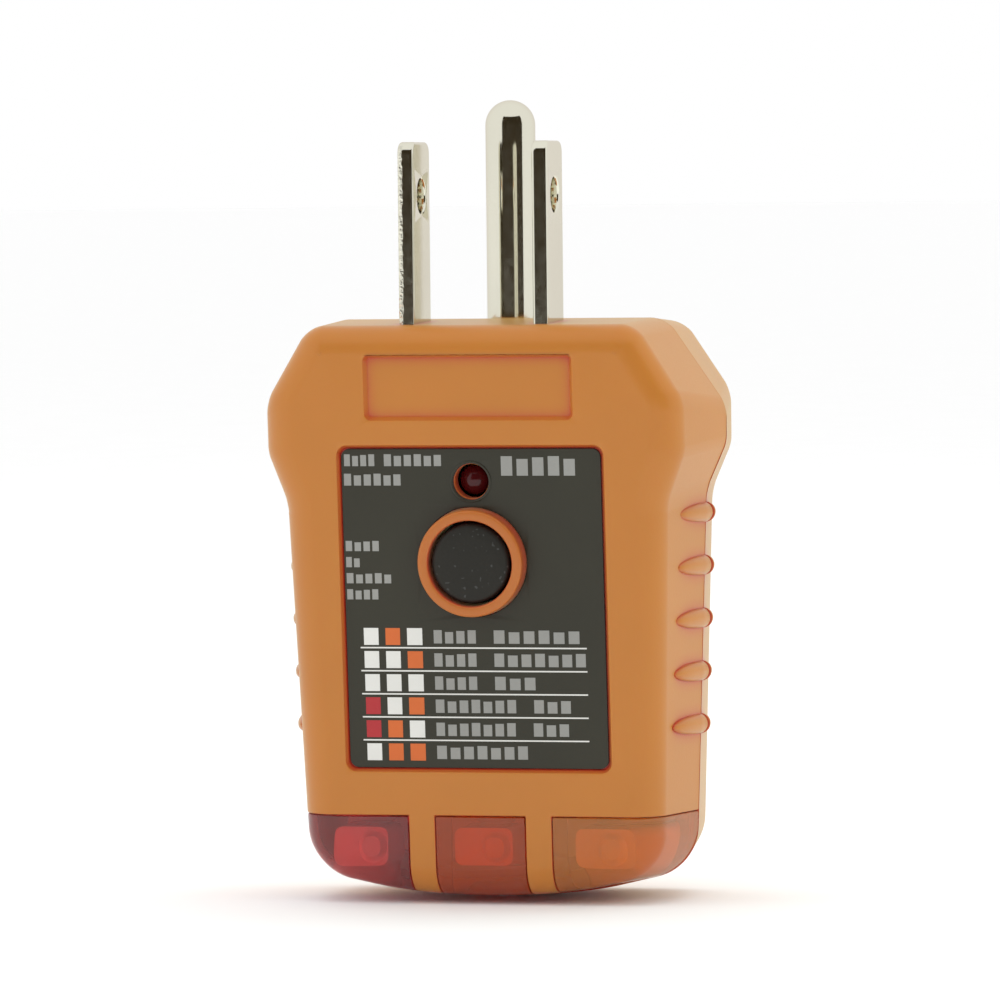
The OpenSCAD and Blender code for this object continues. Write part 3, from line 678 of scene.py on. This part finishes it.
# %% Test button
def dusty_plastic(name, colour, speck_colour):
    """A matt plastic with a few pale specks of dust in its grain."""
    plastic = finish(name, colour, spread=0.15, rough=0.55, rough_spread=0.1, grain=4200, relief=0.012,
                     specular_ior_level=0.32)
    tree = plastic.node_tree
    dust = add_node(tree, "TexNoise", scale=2600.0, detail=0.0)
    specks = add_node(tree, "MapRange", from_min=0.74, from_max=0.84)
    dusty = add_node(tree, "Mix")
    dusty.data_type = "RGBA"
    dusty.inputs["B"].default_value = (*speck_colour, 1)
    tree.links.new(tree.nodes["place"].outputs["Object"], dust.inputs["Vector"])
    tree.links.new(dust.outputs["Fac"], specks.inputs["Value"])
    tree.links.new(specks.outputs["Result"], dusty.inputs["Factor"])
    tree.links.new(tree.nodes["shades"].outputs["Color"], dusty.inputs["A"])
    tree.links.new(dusty.outputs["Result"], tree.nodes["Principled BSDF"].inputs["Base Color"])
    return plastic


charcoal = dusty_plastic("button_plastic", (0.0165, 0.0150, 0.0105), (0.05, 0.05, 0.047))
button = bmesh.new()
turned(button, [(0, STEM_FOOT), (1.2, STEM_FOOT), (1.2, FLANGE_FOOT), (FLANGE_R, FLANGE_FOOT),
                (FLANGE_R, FLANGE_TOP), (CAP_R, FLANGE_TOP), (CAP_R, 0.86), (2.2, 0.95), (0, 0.97)], 96)
soften(button, sharp_edges(button, 40, lambda e: middle(e).z > 0.5), 0.45, 4)
button.transform(face_place(BUTTON_DOWN))
piece("push_button", button, "button", charcoal, ["test_button"])

# %% Status lamp
STATUS_R, STATUS_SHAFT, STATUS_SUNK = 1.5, 2.3, 2.5
lamp_red = finish("status_red_lens", (0.055, 0.003, 0.004), spread=0.1, rough=0.12, rough_spread=0.04,
                  grain=800, relief=0.002, specular_ior_level=0.35)
status = bmesh.new()
bmesh.ops.create_uvsphere(status, u_segments=40, v_segments=24, radius=STATUS_R)
cut_away(status, (0, 0, 0), (0, 0, -1))
draw_down(status, STATUS_SHAFT)
status.transform(face_place(LAMP_DOWN) @ Matrix.Translation((0, 0, -STATUS_SUNK)))
piece("status_lamp_dome", status, "housing", lamp_red, ["status_lamp"])

# %% [markdown]
# ## The label
# The label is a printed plastic film that lies in its seat. Film and print are made apart:
# the film is a thin plate with soft edges, two round holes and a small raised rim round the
# lamp's hole, and the ink is a set of very thin raised marks. The words on such a label belong
# to its maker, so blocks of about the same length stand for them, and only the rows of
# coloured squares keep their meaning.

# %% Film
FILM_TOP, FILM_FOOT = -0.34, -LABEL_SINK - 0.02
FILM_LOW, FILM_HIGH = (-12.3, -41.5), (12.3, -11.8)
FILM_COLLAR_R, FILM_LAMP_R, FILM_LIP = 5.1, 1.68, 0.05
film_grey = finish("label_film", (0.030, 0.028, 0.0165), spread=0.08, rough=0.4, rough_spread=0.06,
                   grain=3500, relief=0.006, specular_ior_level=0.36)
film = bmesh.new()
film_face = rounded_face(film, FILM_FOOT, FILM_LOW, FILM_HIGH, 0.8, 6)
solid = bmesh.ops.extrude_face_region(film, geom=[film_face])["geom"]
bmesh.ops.translate(film, verts=verts_of(solid), vec=(0, 0, FILM_TOP - FILM_FOOT))
bmesh.ops.recalc_face_normals(film, faces=film.faces)
tunnel(film, FILM_TOP, FILM_FOOT, (0, -BUTTON_DOWN), FILM_COLLAR_R, 0.5, 64, FILM_LIP)
tunnel(film, FILM_TOP, FILM_FOOT, (0, -LAMP_DOWN), FILM_LAMP_R, 0.25, 48, FILM_LIP)
outline = [e for e in sharp_edges(film, 60) if middle(e).z > FILM_TOP - NEAR and
           (abs(middle(e).x) > 11 or middle(e).y > -12.7 or middle(e).y < -40.5)]
soften(film, outline, 0.07, 2)
RIM_IN, RIM_OUT, RIM_LOW, RIM_MID, RIM_TOP = 1.76, 1.94, -0.36, -0.29, -0.25
rim = bmesh.new()
turned(rim, [(RIM_IN, RIM_LOW), (RIM_IN, RIM_MID), (RIM_IN + 0.06, RIM_TOP), (RIM_OUT - 0.06, RIM_TOP),
             (RIM_OUT, RIM_MID), (RIM_OUT, RIM_LOW), (RIM_IN, RIM_LOW)], 48)
rim.transform(Matrix.Translation((0, -LAMP_DOWN, 0)))
join_in(film, rim)
film.transform(on_face)
piece("label_film", film, "housing", film_grey, ["face_label"])


# %% Ink
INK_THICK = 0.03


def printed(marks, level):
    """Thin blocks of ink, each from x0 to x1 and from y0 to y1, centred on one level."""
    ink = bmesh.new()
    for x0, x1, y0, y1 in marks:
        place = Matrix.Translation(((x0 + x1) / 2, (y0 + y1) / 2, level))
        size = Matrix.Diagonal((x1 - x0, y1 - y0, INK_THICK, 1))
        bmesh.ops.create_cube(ink, size=1.0, matrix=place @ size)
    return ink


def ink_marks(name, marks, colour):
    ink = printed(marks, FILM_TOP + 0.005)
    ink.transform(on_face)
    paint = finish("ink_" + name, colour, spread=0.06, rough=0.5, rough_spread=0.08, grain=6000, relief=0.004)
    piece("label_ink_" + name, ink, "housing", paint, ["face_label"], weighted=False)


LETTER_SHARE = 0.72
LETTER_HEIGHTS = (1.0, 0.86, 0.94)


def word(left, right, base, height, letters):
    """A row of plain blocks, one for each letter."""
    pitch = (right - left) / letters
    return [(left + k * pitch, left + (k + LETTER_SHARE) * pitch, base, base + height * LETTER_HEIGHTS[k % 3])
            for k in range(letters)]


ROW_TOP, ROW_PITCH, SQUARE_H = -28.46, 2.157, 1.58
ROW_TEXT_DOWN, ROW_TEXT_H = 1.42, 1.24
RULE_LEFT, RULE_RIGHT, RULE_LOW, RULE_HIGH = -10.97, 10.52, 1.90, 1.77
COLUMNS = [(-10.63, -9.23), (-8.56, -7.17), (-6.50, -5.05)]
ROWS = ["WOW", "WWO", "WWW", "RWO", "ROW", "WOO"]
ENDS = [[(-3.96, 0.35, 4), (1.75, 10.26, 6)], [(-3.96, 0.35, 4), (1.75, 10.76, 7)],
        [(-3.96, 0.35, 4), (1.75, 5.97, 3)], [(-3.96, 4.0, 7), (5.4, 9.22, 3)],
        [(-3.96, 3.9, 7), (5.3, 8.97, 3)], [(-3.96, 5.03, 7)]]
HEADINGS = [(-12.0, -8.9, -13.4, 1.1, 4), (-8.2, -2.5, -13.4, 1.1, 6), (-12.06, -6.4, -15.2, 1.1, 6),
            (2.9, 10.3, -14.3, 1.8, 5)]
HINTS = [(-12.1, -8.7, -21.3, 0.95, 4), (-12.1, -10.6, -22.8, 0.95, 2), (-12.1, -7.6, -24.3, 0.95, 5),
         (-12.1, -8.9, -25.8, 0.95, 4)]
squares = {"W": [], "O": [], "R": []}
grey_marks = []
for r, row in enumerate(ROWS):
    top = ROW_TOP - r * ROW_PITCH
    for (x0, x1), kind in zip(COLUMNS, row):
        squares[kind].append((x0, x1, top - SQUARE_H, top))
    for x0, x1, letters in ENDS[r]:
        grey_marks += word(x0, x1, top - ROW_TEXT_DOWN, ROW_TEXT_H, letters)
    if r < len(ROWS) - 1:
        squares["W"].append((RULE_LEFT, RULE_RIGHT, top - RULE_LOW, top - RULE_HIGH))
for line in HEADINGS + HINTS:
    grey_marks += word(*line)
ink_marks("white", squares["W"], (0.72, 0.72, 0.68))
ink_marks("grey", grey_marks, (0.29, 0.29, 0.27))
ink_marks("orange", squares["O"], (0.62, 0.13, 0.02))
ink_marks("red", squares["R"], (0.42, 0.02, 0.025))

# %% [markdown]
# ## Lamp windows
# Each window is a block of clear tinted plastic that continues the shell's outer surface,
# with a pocket in its back for the lamp. Glass-like plastic gets its colour from its
# thickness: thin parts look pale and the thick rims look deep. So a volume absorption takes
# the colour out of the light inside the block, and the surface adds a tint of its own. The
# pocket's walls are frosted, which makes it a lighter field with a shallow seat at its end.

# %% Window plastic
def window_plastic(name, surface, depth_colour, density, clear, rough=0.05):
    plastic = finish(name, surface, spread=0.02, rough=rough, rough_spread=0.03, grain=500, relief=0.002,
                     transmission_weight=clear, ior=1.49)
    absorb = plastic.node_tree.nodes.new("ShaderNodeVolumeAbsorption")
    absorb.inputs["Color"].default_value = (*depth_colour, 1)
    absorb.inputs["Density"].default_value = density
    output = plastic.node_tree.nodes["Material Output"]
    plastic.node_tree.links.new(absorb.outputs["Volume"], output.inputs["Volume"])
    return plastic


# For each hue: the surface's tint, the colour that goes deep, how fast it deepens, and how
# much of the surface is clear.
TINTS = {"red": ((0.97, 0.24, 0.22), (0.94, 0.10, 0.18), 125, 0.90),
         "amber_red": ((0.93, 0.16, 0.03), (0.98, 0.25, 0.03), 120, 0.76),
         "amber": ((0.95, 0.34, 0.06), (0.98, 0.48, 0.05), 110, 0.72)}
FROST_CLEAR, FROST_ROUGH = 0.25, 0.2
clear_windows = {hue: window_plastic(hue + "_window", *tint) for hue, tint in TINTS.items()}
frosted_windows = {hue: window_plastic(hue + "_window_frosted", *tint[:3], FROST_CLEAR, FROST_ROUGH)
                   for hue, tint in TINTS.items()}
print("window plastics:", sorted(clear_windows))


# %% Windows
WINDOW_GAP = 0.05
POCKET_LOW, POCKET_HIGH, POCKET_DEPTH = -50.7, -46.7, 7.4
SEAT_LOW, SEAT_HIGH, SEAT_DEPTH, SEAT_HALF = -50.2, -47.3, 1.0, 1.35


def frost_pocket(lens, low, high):
    """Gives the second material to the faces of the pocket and of the seat at its end."""
    low, high = grow(low, high, 0.01)
    for face in lens.faces:
        if all(-POCKET_DEPTH - SEAT_DEPTH - 0.01 < v.co.z and low[0] < v.co.x < high[0]
               and low[1] < v.co.y < high[1] for v in face.verts):
            face.material_index = 1


def window(name, low_x, high_x, pocket_x, lamp_x, hue):
    lens = body_half(FACE_MOVE, face_y, FACE_BLEND)
    cut_away(lens, (0, 0, LENS_TOP - WINDOW_GAP), (0, 0, 1))
    if low_x is not None:
        cut_away(lens, (low_x + WINDOW_GAP, 0, 0), (-1, 0, 0))
    if high_x is not None:
        cut_away(lens, (high_x - WINDOW_GAP, 0, 0), (1, 0, 0))
    lens.transform(on_seam.inverted())
    low, high = (-pocket_x[1], POCKET_LOW), (-pocket_x[0], POCKET_HIGH)
    floor = fit_in(lens, cell(lens, 0.0, *grow(low, high, 0.4)), rounded_face(lens, 0.0, low, high, 1.0, 5))
    sink(lens, floor, POCKET_DEPTH, 0.25)
    seat_low, seat_high = (-lamp_x - SEAT_HALF, SEAT_LOW), (-lamp_x + SEAT_HALF, SEAT_HIGH)
    seat = fit_in(lens, floor, rounded_face(lens, -POCKET_DEPTH, seat_low, seat_high, 1.2, 8))
    sink(lens, seat, SEAT_DEPTH, 0.5)
    frost_pocket(lens, low, high)
    lens.transform(on_seam)
    bmesh.ops.recalc_face_normals(lens, faces=lens.faces)
    cuts = [x for x in (low_x, high_x) if x is not None]
    rims = sharp_edges(lens, 50, lambda e: abs(middle(e).z - LENS_TOP + WINDOW_GAP) < 0.02 or
                       any(abs(middle(e).x - x) < 0.06 for x in cuts))
    soften(lens, rims, WINDOW_ROUND, 2)
    plastics = [clear_windows[hue], frosted_windows[hue]]
    piece(name + "_window", lens, "housing", plastics, [name + "_lens"])


window("left", None, -STRIP_OUTER, (-14.5, -8.9), -10.6, "red")
window("middle", -STRIP_INNER, STRIP_INNER, (-3.0, 3.0), 1.2, "amber_red")
window("right", STRIP_OUTER, None, (8.5, 14.5), 12.2, "amber")

# %% [markdown]
# ## Prongs
# Blades are stamped from nickel-plated brass strip, and the pin is turned. The blade starts
# as a box: its tip corners are rounded, a hole is put through, and then every long edge gets
# a small round. The stamping leaves a torn band along one edge of the left blade, which is
# the rough bump in the metal there. Its border is ragged, because a little noise is added to
# the place where it ends. The pin is half a ball whose flat cap is drawn down into a shaft.

# %% Nickel
TORN_X, TORN_Y, TORN_RAGGED, TORN_DEPTH = -0.00642, -0.0029, 0.0004, 0.0003


def torn_band(tree, under):
    """Adds rough bump along one edge of a blade, on top of the bump below it."""
    crumbs = add_node(tree, "TexNoise", scale=2200, detail=3)
    split = add_node(tree, "SeparateXYZ")
    for node in (crumbs, split):
        tree.links.new(tree.nodes["place"].outputs["Object"], node.inputs["Vector"])
    ragged = node_math(tree, "MULTIPLY_ADD", crumbs.outputs["Fac"], TORN_RAGGED, split.outputs["X"])
    side = node_math(tree, "LESS_THAN", ragged, TORN_X)
    edge = node_math(tree, "LESS_THAN", split.outputs["Y"], TORN_Y)
    band = node_math(tree, "MULTIPLY", side, edge)
    bump = add_node(tree, "Bump", distance=TORN_DEPTH)
    tree.links.new(node_math(tree, "MULTIPLY", band, crumbs.outputs["Fac"]), bump.inputs["Height"])
    tree.links.new(under.outputs["Normal"], bump.inputs["Normal"])
    return bump


def nickel(name, torn=False):
    metal = finish(name, (0.75, 0.73, 0.615), spread=0.03, rough=0.09, rough_spread=0.04, grain=1500,
                   relief=0.001, metallic=1.0)
    tree = metal.node_tree
    shader = tree.nodes["Principled BSDF"]
    shader.inputs["Specular Tint"].default_value = (0.84, 0.80, 0.76, 1)
    stretch = add_node(tree, "Mapping", scale=(6000, 6000, 300))
    lines = add_node(tree, "TexNoise", scale=1.0)
    drawn = add_node(tree, "Bump", distance=0.8e-6)
    tree.links.new(tree.nodes["place"].outputs["Object"], stretch.inputs["Vector"])
    tree.links.new(stretch.outputs["Vector"], lines.inputs["Vector"])
    tree.links.new(lines.outputs["Fac"], drawn.inputs["Height"])
    tree.links.new(tree.nodes["Bump"].outputs["Normal"], drawn.inputs["Normal"])
    last = torn_band(tree, drawn) if torn else drawn
    tree.links.new(last.outputs["Normal"], shader.inputs["Normal"])
    return metal


plain_nickel, torn_nickel = nickel("nickel_plate"), nickel("nickel_plate_torn", torn=True)
print("metals:", plain_nickel.name, torn_nickel.name)

# %% Blades
BLADE_X, BLADE_W, BLADE_T, BLADE_TIP, BLADE_ROOT = 6.35, 6.35, 1.5, 16.5, -12.0
HOLE_Z, HOLE_R, HOLE_LIP, TIP_CORNER = 11.5, 1.6, 0.2, 1.1
blade_place = Matrix(((0, 0, 1, 0), (1, 0, 0, 0), (0, 1, 0, 0), (0, 0, 0, 1)))


def blade(name, x, metal, node):
    bm = bmesh.new()
    height = BLADE_TIP - BLADE_ROOT
    centre = Matrix.Translation((0, BLADE_ROOT + height / 2, 0))
    bmesh.ops.create_cube(bm, size=1.0, matrix=centre @ Matrix.Diagonal((BLADE_W, height, BLADE_T, 1)))
    tips = [e for e in bm.edges if middle(e).y > BLADE_TIP - 0.1 and abs(middle(e).x) > 3]
    soften(bm, tips, TIP_CORNER, 6)
    tunnel(bm, BLADE_T / 2, -BLADE_T / 2, (0, HOLE_Z), HOLE_R, 0.9, 40, HOLE_LIP)
    rims = sharp_edges(bm, 60, lambda e: abs(abs(middle(e).z) - BLADE_T / 2) < NEAR and
                       (Vector((0, HOLE_Z)) - middle(e).xy).length > 2.4)
    soften(bm, rims, 0.3, 4)
    bm.transform(Matrix.Translation((x, 0, 0)) @ blade_place)
    piece(name, bm, "housing", metal, [node])


blade("left_prong", -BLADE_X, torn_nickel, "left_blade")
blade("right_prong", BLADE_X, plain_nickel, "right_blade")

# %% Ground pin
PIN_R, PIN_Y, PIN_TIP, PIN_SHAFT = 2.35, 11.89, 20.4, 26.0
pin = bmesh.new()
bmesh.ops.create_uvsphere(pin, u_segments=72, v_segments=36, radius=PIN_R)
cut_away(pin, (0, 0, 0), (0, 0, -1))
draw_down(pin, PIN_SHAFT)
pin.transform(Matrix.Translation((0, PIN_Y, PIN_TIP - PIN_R)))
piece("ground_prong", pin, "housing", plain_nickel, ["ground_pin"])

# %% [markdown]
# ## Lamps and reflector
# A small clear lamp hangs behind each window on two wires, in front of a white reflector that
# keeps the three colours apart. A lamp is a bullet with a rim at its base: a turned profile
# whose flat end is first drawn out by its radius and then rounded all the way over. The
# plastic is clear but full of tiny faults, so it is a little milky. The reflector keeps its
# CAD shape and gets a white moulded finish with the other parts inside.

# %% Lamps
clear_lamp = finish("lamp_clear", (0.95, 0.86, 0.80), spread=0.04, rough=0.12, rough_spread=0.05,
                    grain=900, relief=0.003, transmission_weight=0.55, ior=1.5)
LAMP_Y, LAMP_R, LAMP_LOW, LAMP_HIGH = 6.6, 1.5, -50.2, -46.0
LAMP_RIM_R, LAMP_RIM_LOW = 1.8, LAMP_HIGH - 0.6
LAMPS = {"left": -11.5, "middle": 0.0, "right": 11.5}
for name, x in LAMPS.items():
    lamp = bmesh.new()
    shoulder = LAMP_LOW + LAMP_R
    turned(lamp, [(0, LAMP_HIGH), (LAMP_RIM_R, LAMP_HIGH), (LAMP_RIM_R, LAMP_RIM_LOW), (LAMP_R, LAMP_RIM_LOW),
                  (LAMP_R, shoulder), (0, shoulder)], 40)
    end = [e for e in lamp.edges if abs(middle(e).z - shoulder) < NEAR and middle(e).xy.length > 1.4]
    flat_end = [v for v in lamp.verts if abs(v.co.z - shoulder) < NEAR]
    bmesh.ops.translate(lamp, verts=flat_end, vec=(0, 0, -LAMP_R))
    soften(lamp, end, LAMP_R * 0.96, 10)
    rim_edges = sharp_edges(lamp, 50, lambda e: middle(e).z > LAMP_HIGH - 0.7 and middle(e).xy.length > 1.6)
    soften(lamp, rim_edges, 0.12, 2)
    bmesh.ops.translate(lamp, verts=lamp.verts, vec=(x, LAMP_Y, 0))
    piece(name + "_lamp_bulb", lamp, "housing", clear_lamp, [name + "_lamp"])

# %% [markdown]
# ## Screws and rating label
# Two cross-head screws close the case from the back. The head is a disc with a rounded rim,
# and the cross is cut out of its flat top and pushed in with a slight draft. The two crosses
# are turned differently, as screws stop where they are tight. The rating label keeps its CAD
# plate and gets a paper finish, with blocks where its small print is.

# %% Screws
steel = finish("screw_steel", (0.42, 0.42, 0.41), spread=0.06, rough=0.3, rough_spread=0.1, grain=1800,
               relief=0.004, metallic=1.0)
HEAD_R, HEAD_FOOT, HEAD_TOP = 2.5, -1.95, -1.0
ARM, ARM_HALF, CROSS_DEPTH = 1.4, 0.32, 0.7


def in_cross(face):
    centre = face.calc_center_median()
    return (all(abs(c) < ARM + 0.01 for v in face.verts for c in v.co.xy)
            and min(abs(centre.x), abs(centre.y)) < 0.1)


screws = bmesh.new()
for place in SCREWS:
    screw = bmesh.new()
    disc = round_face(screw, HEAD_FOOT, (0, 0), HEAD_R)
    up = bmesh.ops.extrude_face_region(screw, geom=[disc])["geom"]
    bmesh.ops.translate(screw, verts=verts_of(up), vec=(0, 0, HEAD_TOP - HEAD_FOOT))
    bmesh.ops.recalc_face_normals(screw, faces=screw.faces)
    soften(screw, sharp_edges(screw, 50, lambda e: middle(e).z > HEAD_TOP - 0.1), 0.3, 4)
    cell(screw, HEAD_TOP, (-ARM, -ARM_HALF), (ARM, ARM_HALF))
    cell(screw, HEAD_TOP, (-ARM_HALF, -ARM), (ARM_HALF, ARM))
    arms = [f for f in level_faces(screw, HEAD_TOP) if in_cross(f)]
    cross = bmesh.ops.dissolve_faces(screw, faces=arms, use_verts=False)["region"][0]
    sink(screw, cross, CROSS_DEPTH, 0.08)
    turned_tight = Matrix.Rotation(radians(31 + place[0]), 4, "Z")
    screw.transform(on_back @ Matrix.Translation((*place, 0)) @ turned_tight)
    join_in(screws, screw)
piece("cross_head_screws", screws, "housing", steel, ["case_screws"])

# %% Rating label
paper = finish("rating_paper", (0.70, 0.70, 0.67), spread=0.03, rough=0.5, rough_spread=0.08, grain=5000,
               relief=0.006)
print_grey = finish("rating_ink", (0.06, 0.06, 0.06), spread=0.1, rough=0.5, rough_spread=0.08, grain=6000,
                    relief=0.004)
RATING_LINES = [(-9.5, 2.0, -25.6, 1.3), (-9.5, 9.5, -28.4, 0.7), (-9.5, 7.2, -30.2, 0.7),
                (-9.5, 8.6, -32.0, 0.7), (-9.5, 0.5, -36.8, 2.2), (3.0, 9.5, -36.8, 2.2)]
PRINT_LEVEL = -0.095
blocks = []
for x0, x1, base, height in RATING_LINES:
    blocks += word(x0, x1, base, height, max(3, round((x1 - x0) / height)))
small_print = printed(blocks, PRINT_LEVEL)
small_print.transform(on_back)
piece("rating_ink", small_print, "housing", print_grey, weighted=False)

# %% [markdown]
# ## Spring
# The spring under the button is a wire coil: a small circle spun three times round with a
# rise at each step. Last, the coil object gets a copy of its mesh as its own.

# %% Spring
SPRING_LOW, SPRING_HIGH, SPRING_R, WIRE_R = -5.07, -3.13, 1.95, 0.2
TURNS, STEPS_A_TURN = 3, 24
coil_steps = TURNS * STEPS_A_TURN
coil_rise = (SPRING_HIGH - SPRING_LOW - 2 * WIRE_R) / coil_steps
spring = bmesh.new()
wire_end = Matrix.Translation((SPRING_R, 0, SPRING_LOW + WIRE_R)) @ Matrix.Rotation(radians(90), 4, "X")
bmesh.ops.create_circle(spring, cap_ends=True, radius=WIRE_R, segments=10, matrix=wire_end)
bmesh.ops.spin(spring, geom=spring.verts[:] + spring.edges[:] + spring.faces[:], cent=(0, 0, 0),
               axis=(0, 0, 1), dvec=(0, 0, coil_rise), angle=TURNS * 2 * pi, steps=coil_steps,
               use_merge=False)
spring.transform(face_place(BUTTON_DOWN))
spring_steel = finish("spring_steel", (0.62, 0.61, 0.58), spread=0.05, rough=0.22, rough_spread=0.08,
                      grain=2500, relief=0.002, metallic=1.0)
coil = piece("button_coil", spring, "housing", spring_steel, ["button_spring"])
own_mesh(coil)

# %% [markdown]
# ## Inside parts
# The parts inside keep their CAD shapes, which are right, and only get finishes: bare
# resin-green board, tinned leads, coated resistors and plain hook-up wire. They are seen
# only when the case is opened, so one table gives each of them its colour, its roughness and
# whether it is metal. The CAD shapes that new pieces stand in for get the same finishes as
# those pieces, so that nothing is left undressed.

# %% Inside finishes
INSIDE = {
    "switch_plunger": ((0.03, 0.03, 0.03), 0.4, 0.0), "switch_housing": ((0.05, 0.05, 0.055), 0.45, 0.0),
    "switch_legs": ((0.66, 0.65, 0.62), 0.25, 1.0), "circuit_board": ((0.02, 0.12, 0.04), 0.35, 0.0),
    "prong_carrier": ((0.74, 0.70, 0.58), 0.5, 0.0), "lamp_leads": ((0.60, 0.59, 0.56), 0.25, 1.0),
    "light_divider": ((0.88, 0.87, 0.84), 0.5, 0.0), "status_leads": ((0.66, 0.65, 0.62), 0.25, 1.0),
    "lamp_resistors": ((0.60, 0.46, 0.28), 0.4, 0.0), "test_resistor": ((0.16, 0.32, 0.42), 0.4, 0.0),
    "rectifier_diode": ((0.03, 0.03, 0.03), 0.4, 0.0), "left_wire": ((0.80, 0.80, 0.78), 0.45, 0.0),
    "right_wire": ((0.02, 0.02, 0.02), 0.45, 0.0), "ground_wire": ((0.03, 0.25, 0.06), 0.45, 0.0),
    "solder_joints": ((0.62, 0.62, 0.60), 0.3, 1.0),
}


def dress(node, material):
    mesh = nodes[node].data
    mesh.materials.clear()
    mesh.materials.append(material)


OUTSIDE = {
    "front_shell": orange, "back_shell": orange, "face_label": film_grey, "rear_label": paper,
    "test_button": charcoal, "button_spring": spring_steel, "status_lamp": lamp_red, "case_screws": steel,
    "left_blade": plain_nickel, "right_blade": plain_nickel, "ground_pin": plain_nickel,
    "left_lens": clear_windows["red"], "middle_lens": clear_windows["amber_red"],
    "right_lens": clear_windows["amber"], "left_lamp": clear_lamp, "middle_lamp": clear_lamp,
    "right_lamp": clear_lamp,
}
for node, (colour, rough, metallic) in INSIDE.items():
    dress(node, finish(node, colour, spread=0.08, rough=rough, rough_spread=0.1, grain=3000, relief=0.004,
                       metallic=metallic))
for node, material in OUTSIDE.items():
    dress(node, material)
print("dressed", len(INSIDE) + len(OUTSIDE), "of", len(nodes), "nodes")

# %% [markdown]
# ## Floor
# A pale paper floor just under the foot catches a soft shadow. It is a plain grid, far wider
# than the view, and it belongs to the studio.

# %% Floor
FLOOR_UNDER = 0.1
floor_paper = finish("floor_paper", (0.985, 0.985, 0.985), spread=0.005, rough=0.9, grain=900, relief=0.0,
                     specular_ior_level=0.2)
floor_bm = bmesh.new()
bmesh.ops.create_grid(floor_bm, x_segments=2, y_segments=2, size=30.0)
bmesh.ops.translate(floor_bm, verts=floor_bm.verts, vec=(0, 0, (FOOT_Z - FLOOR_UNDER) * 0.001))
floor_sheet = stage_sheet("floor", floor_bm, floor_paper)
print("floor at", round(floor_sheet.data.vertices[0].co.z, 4))
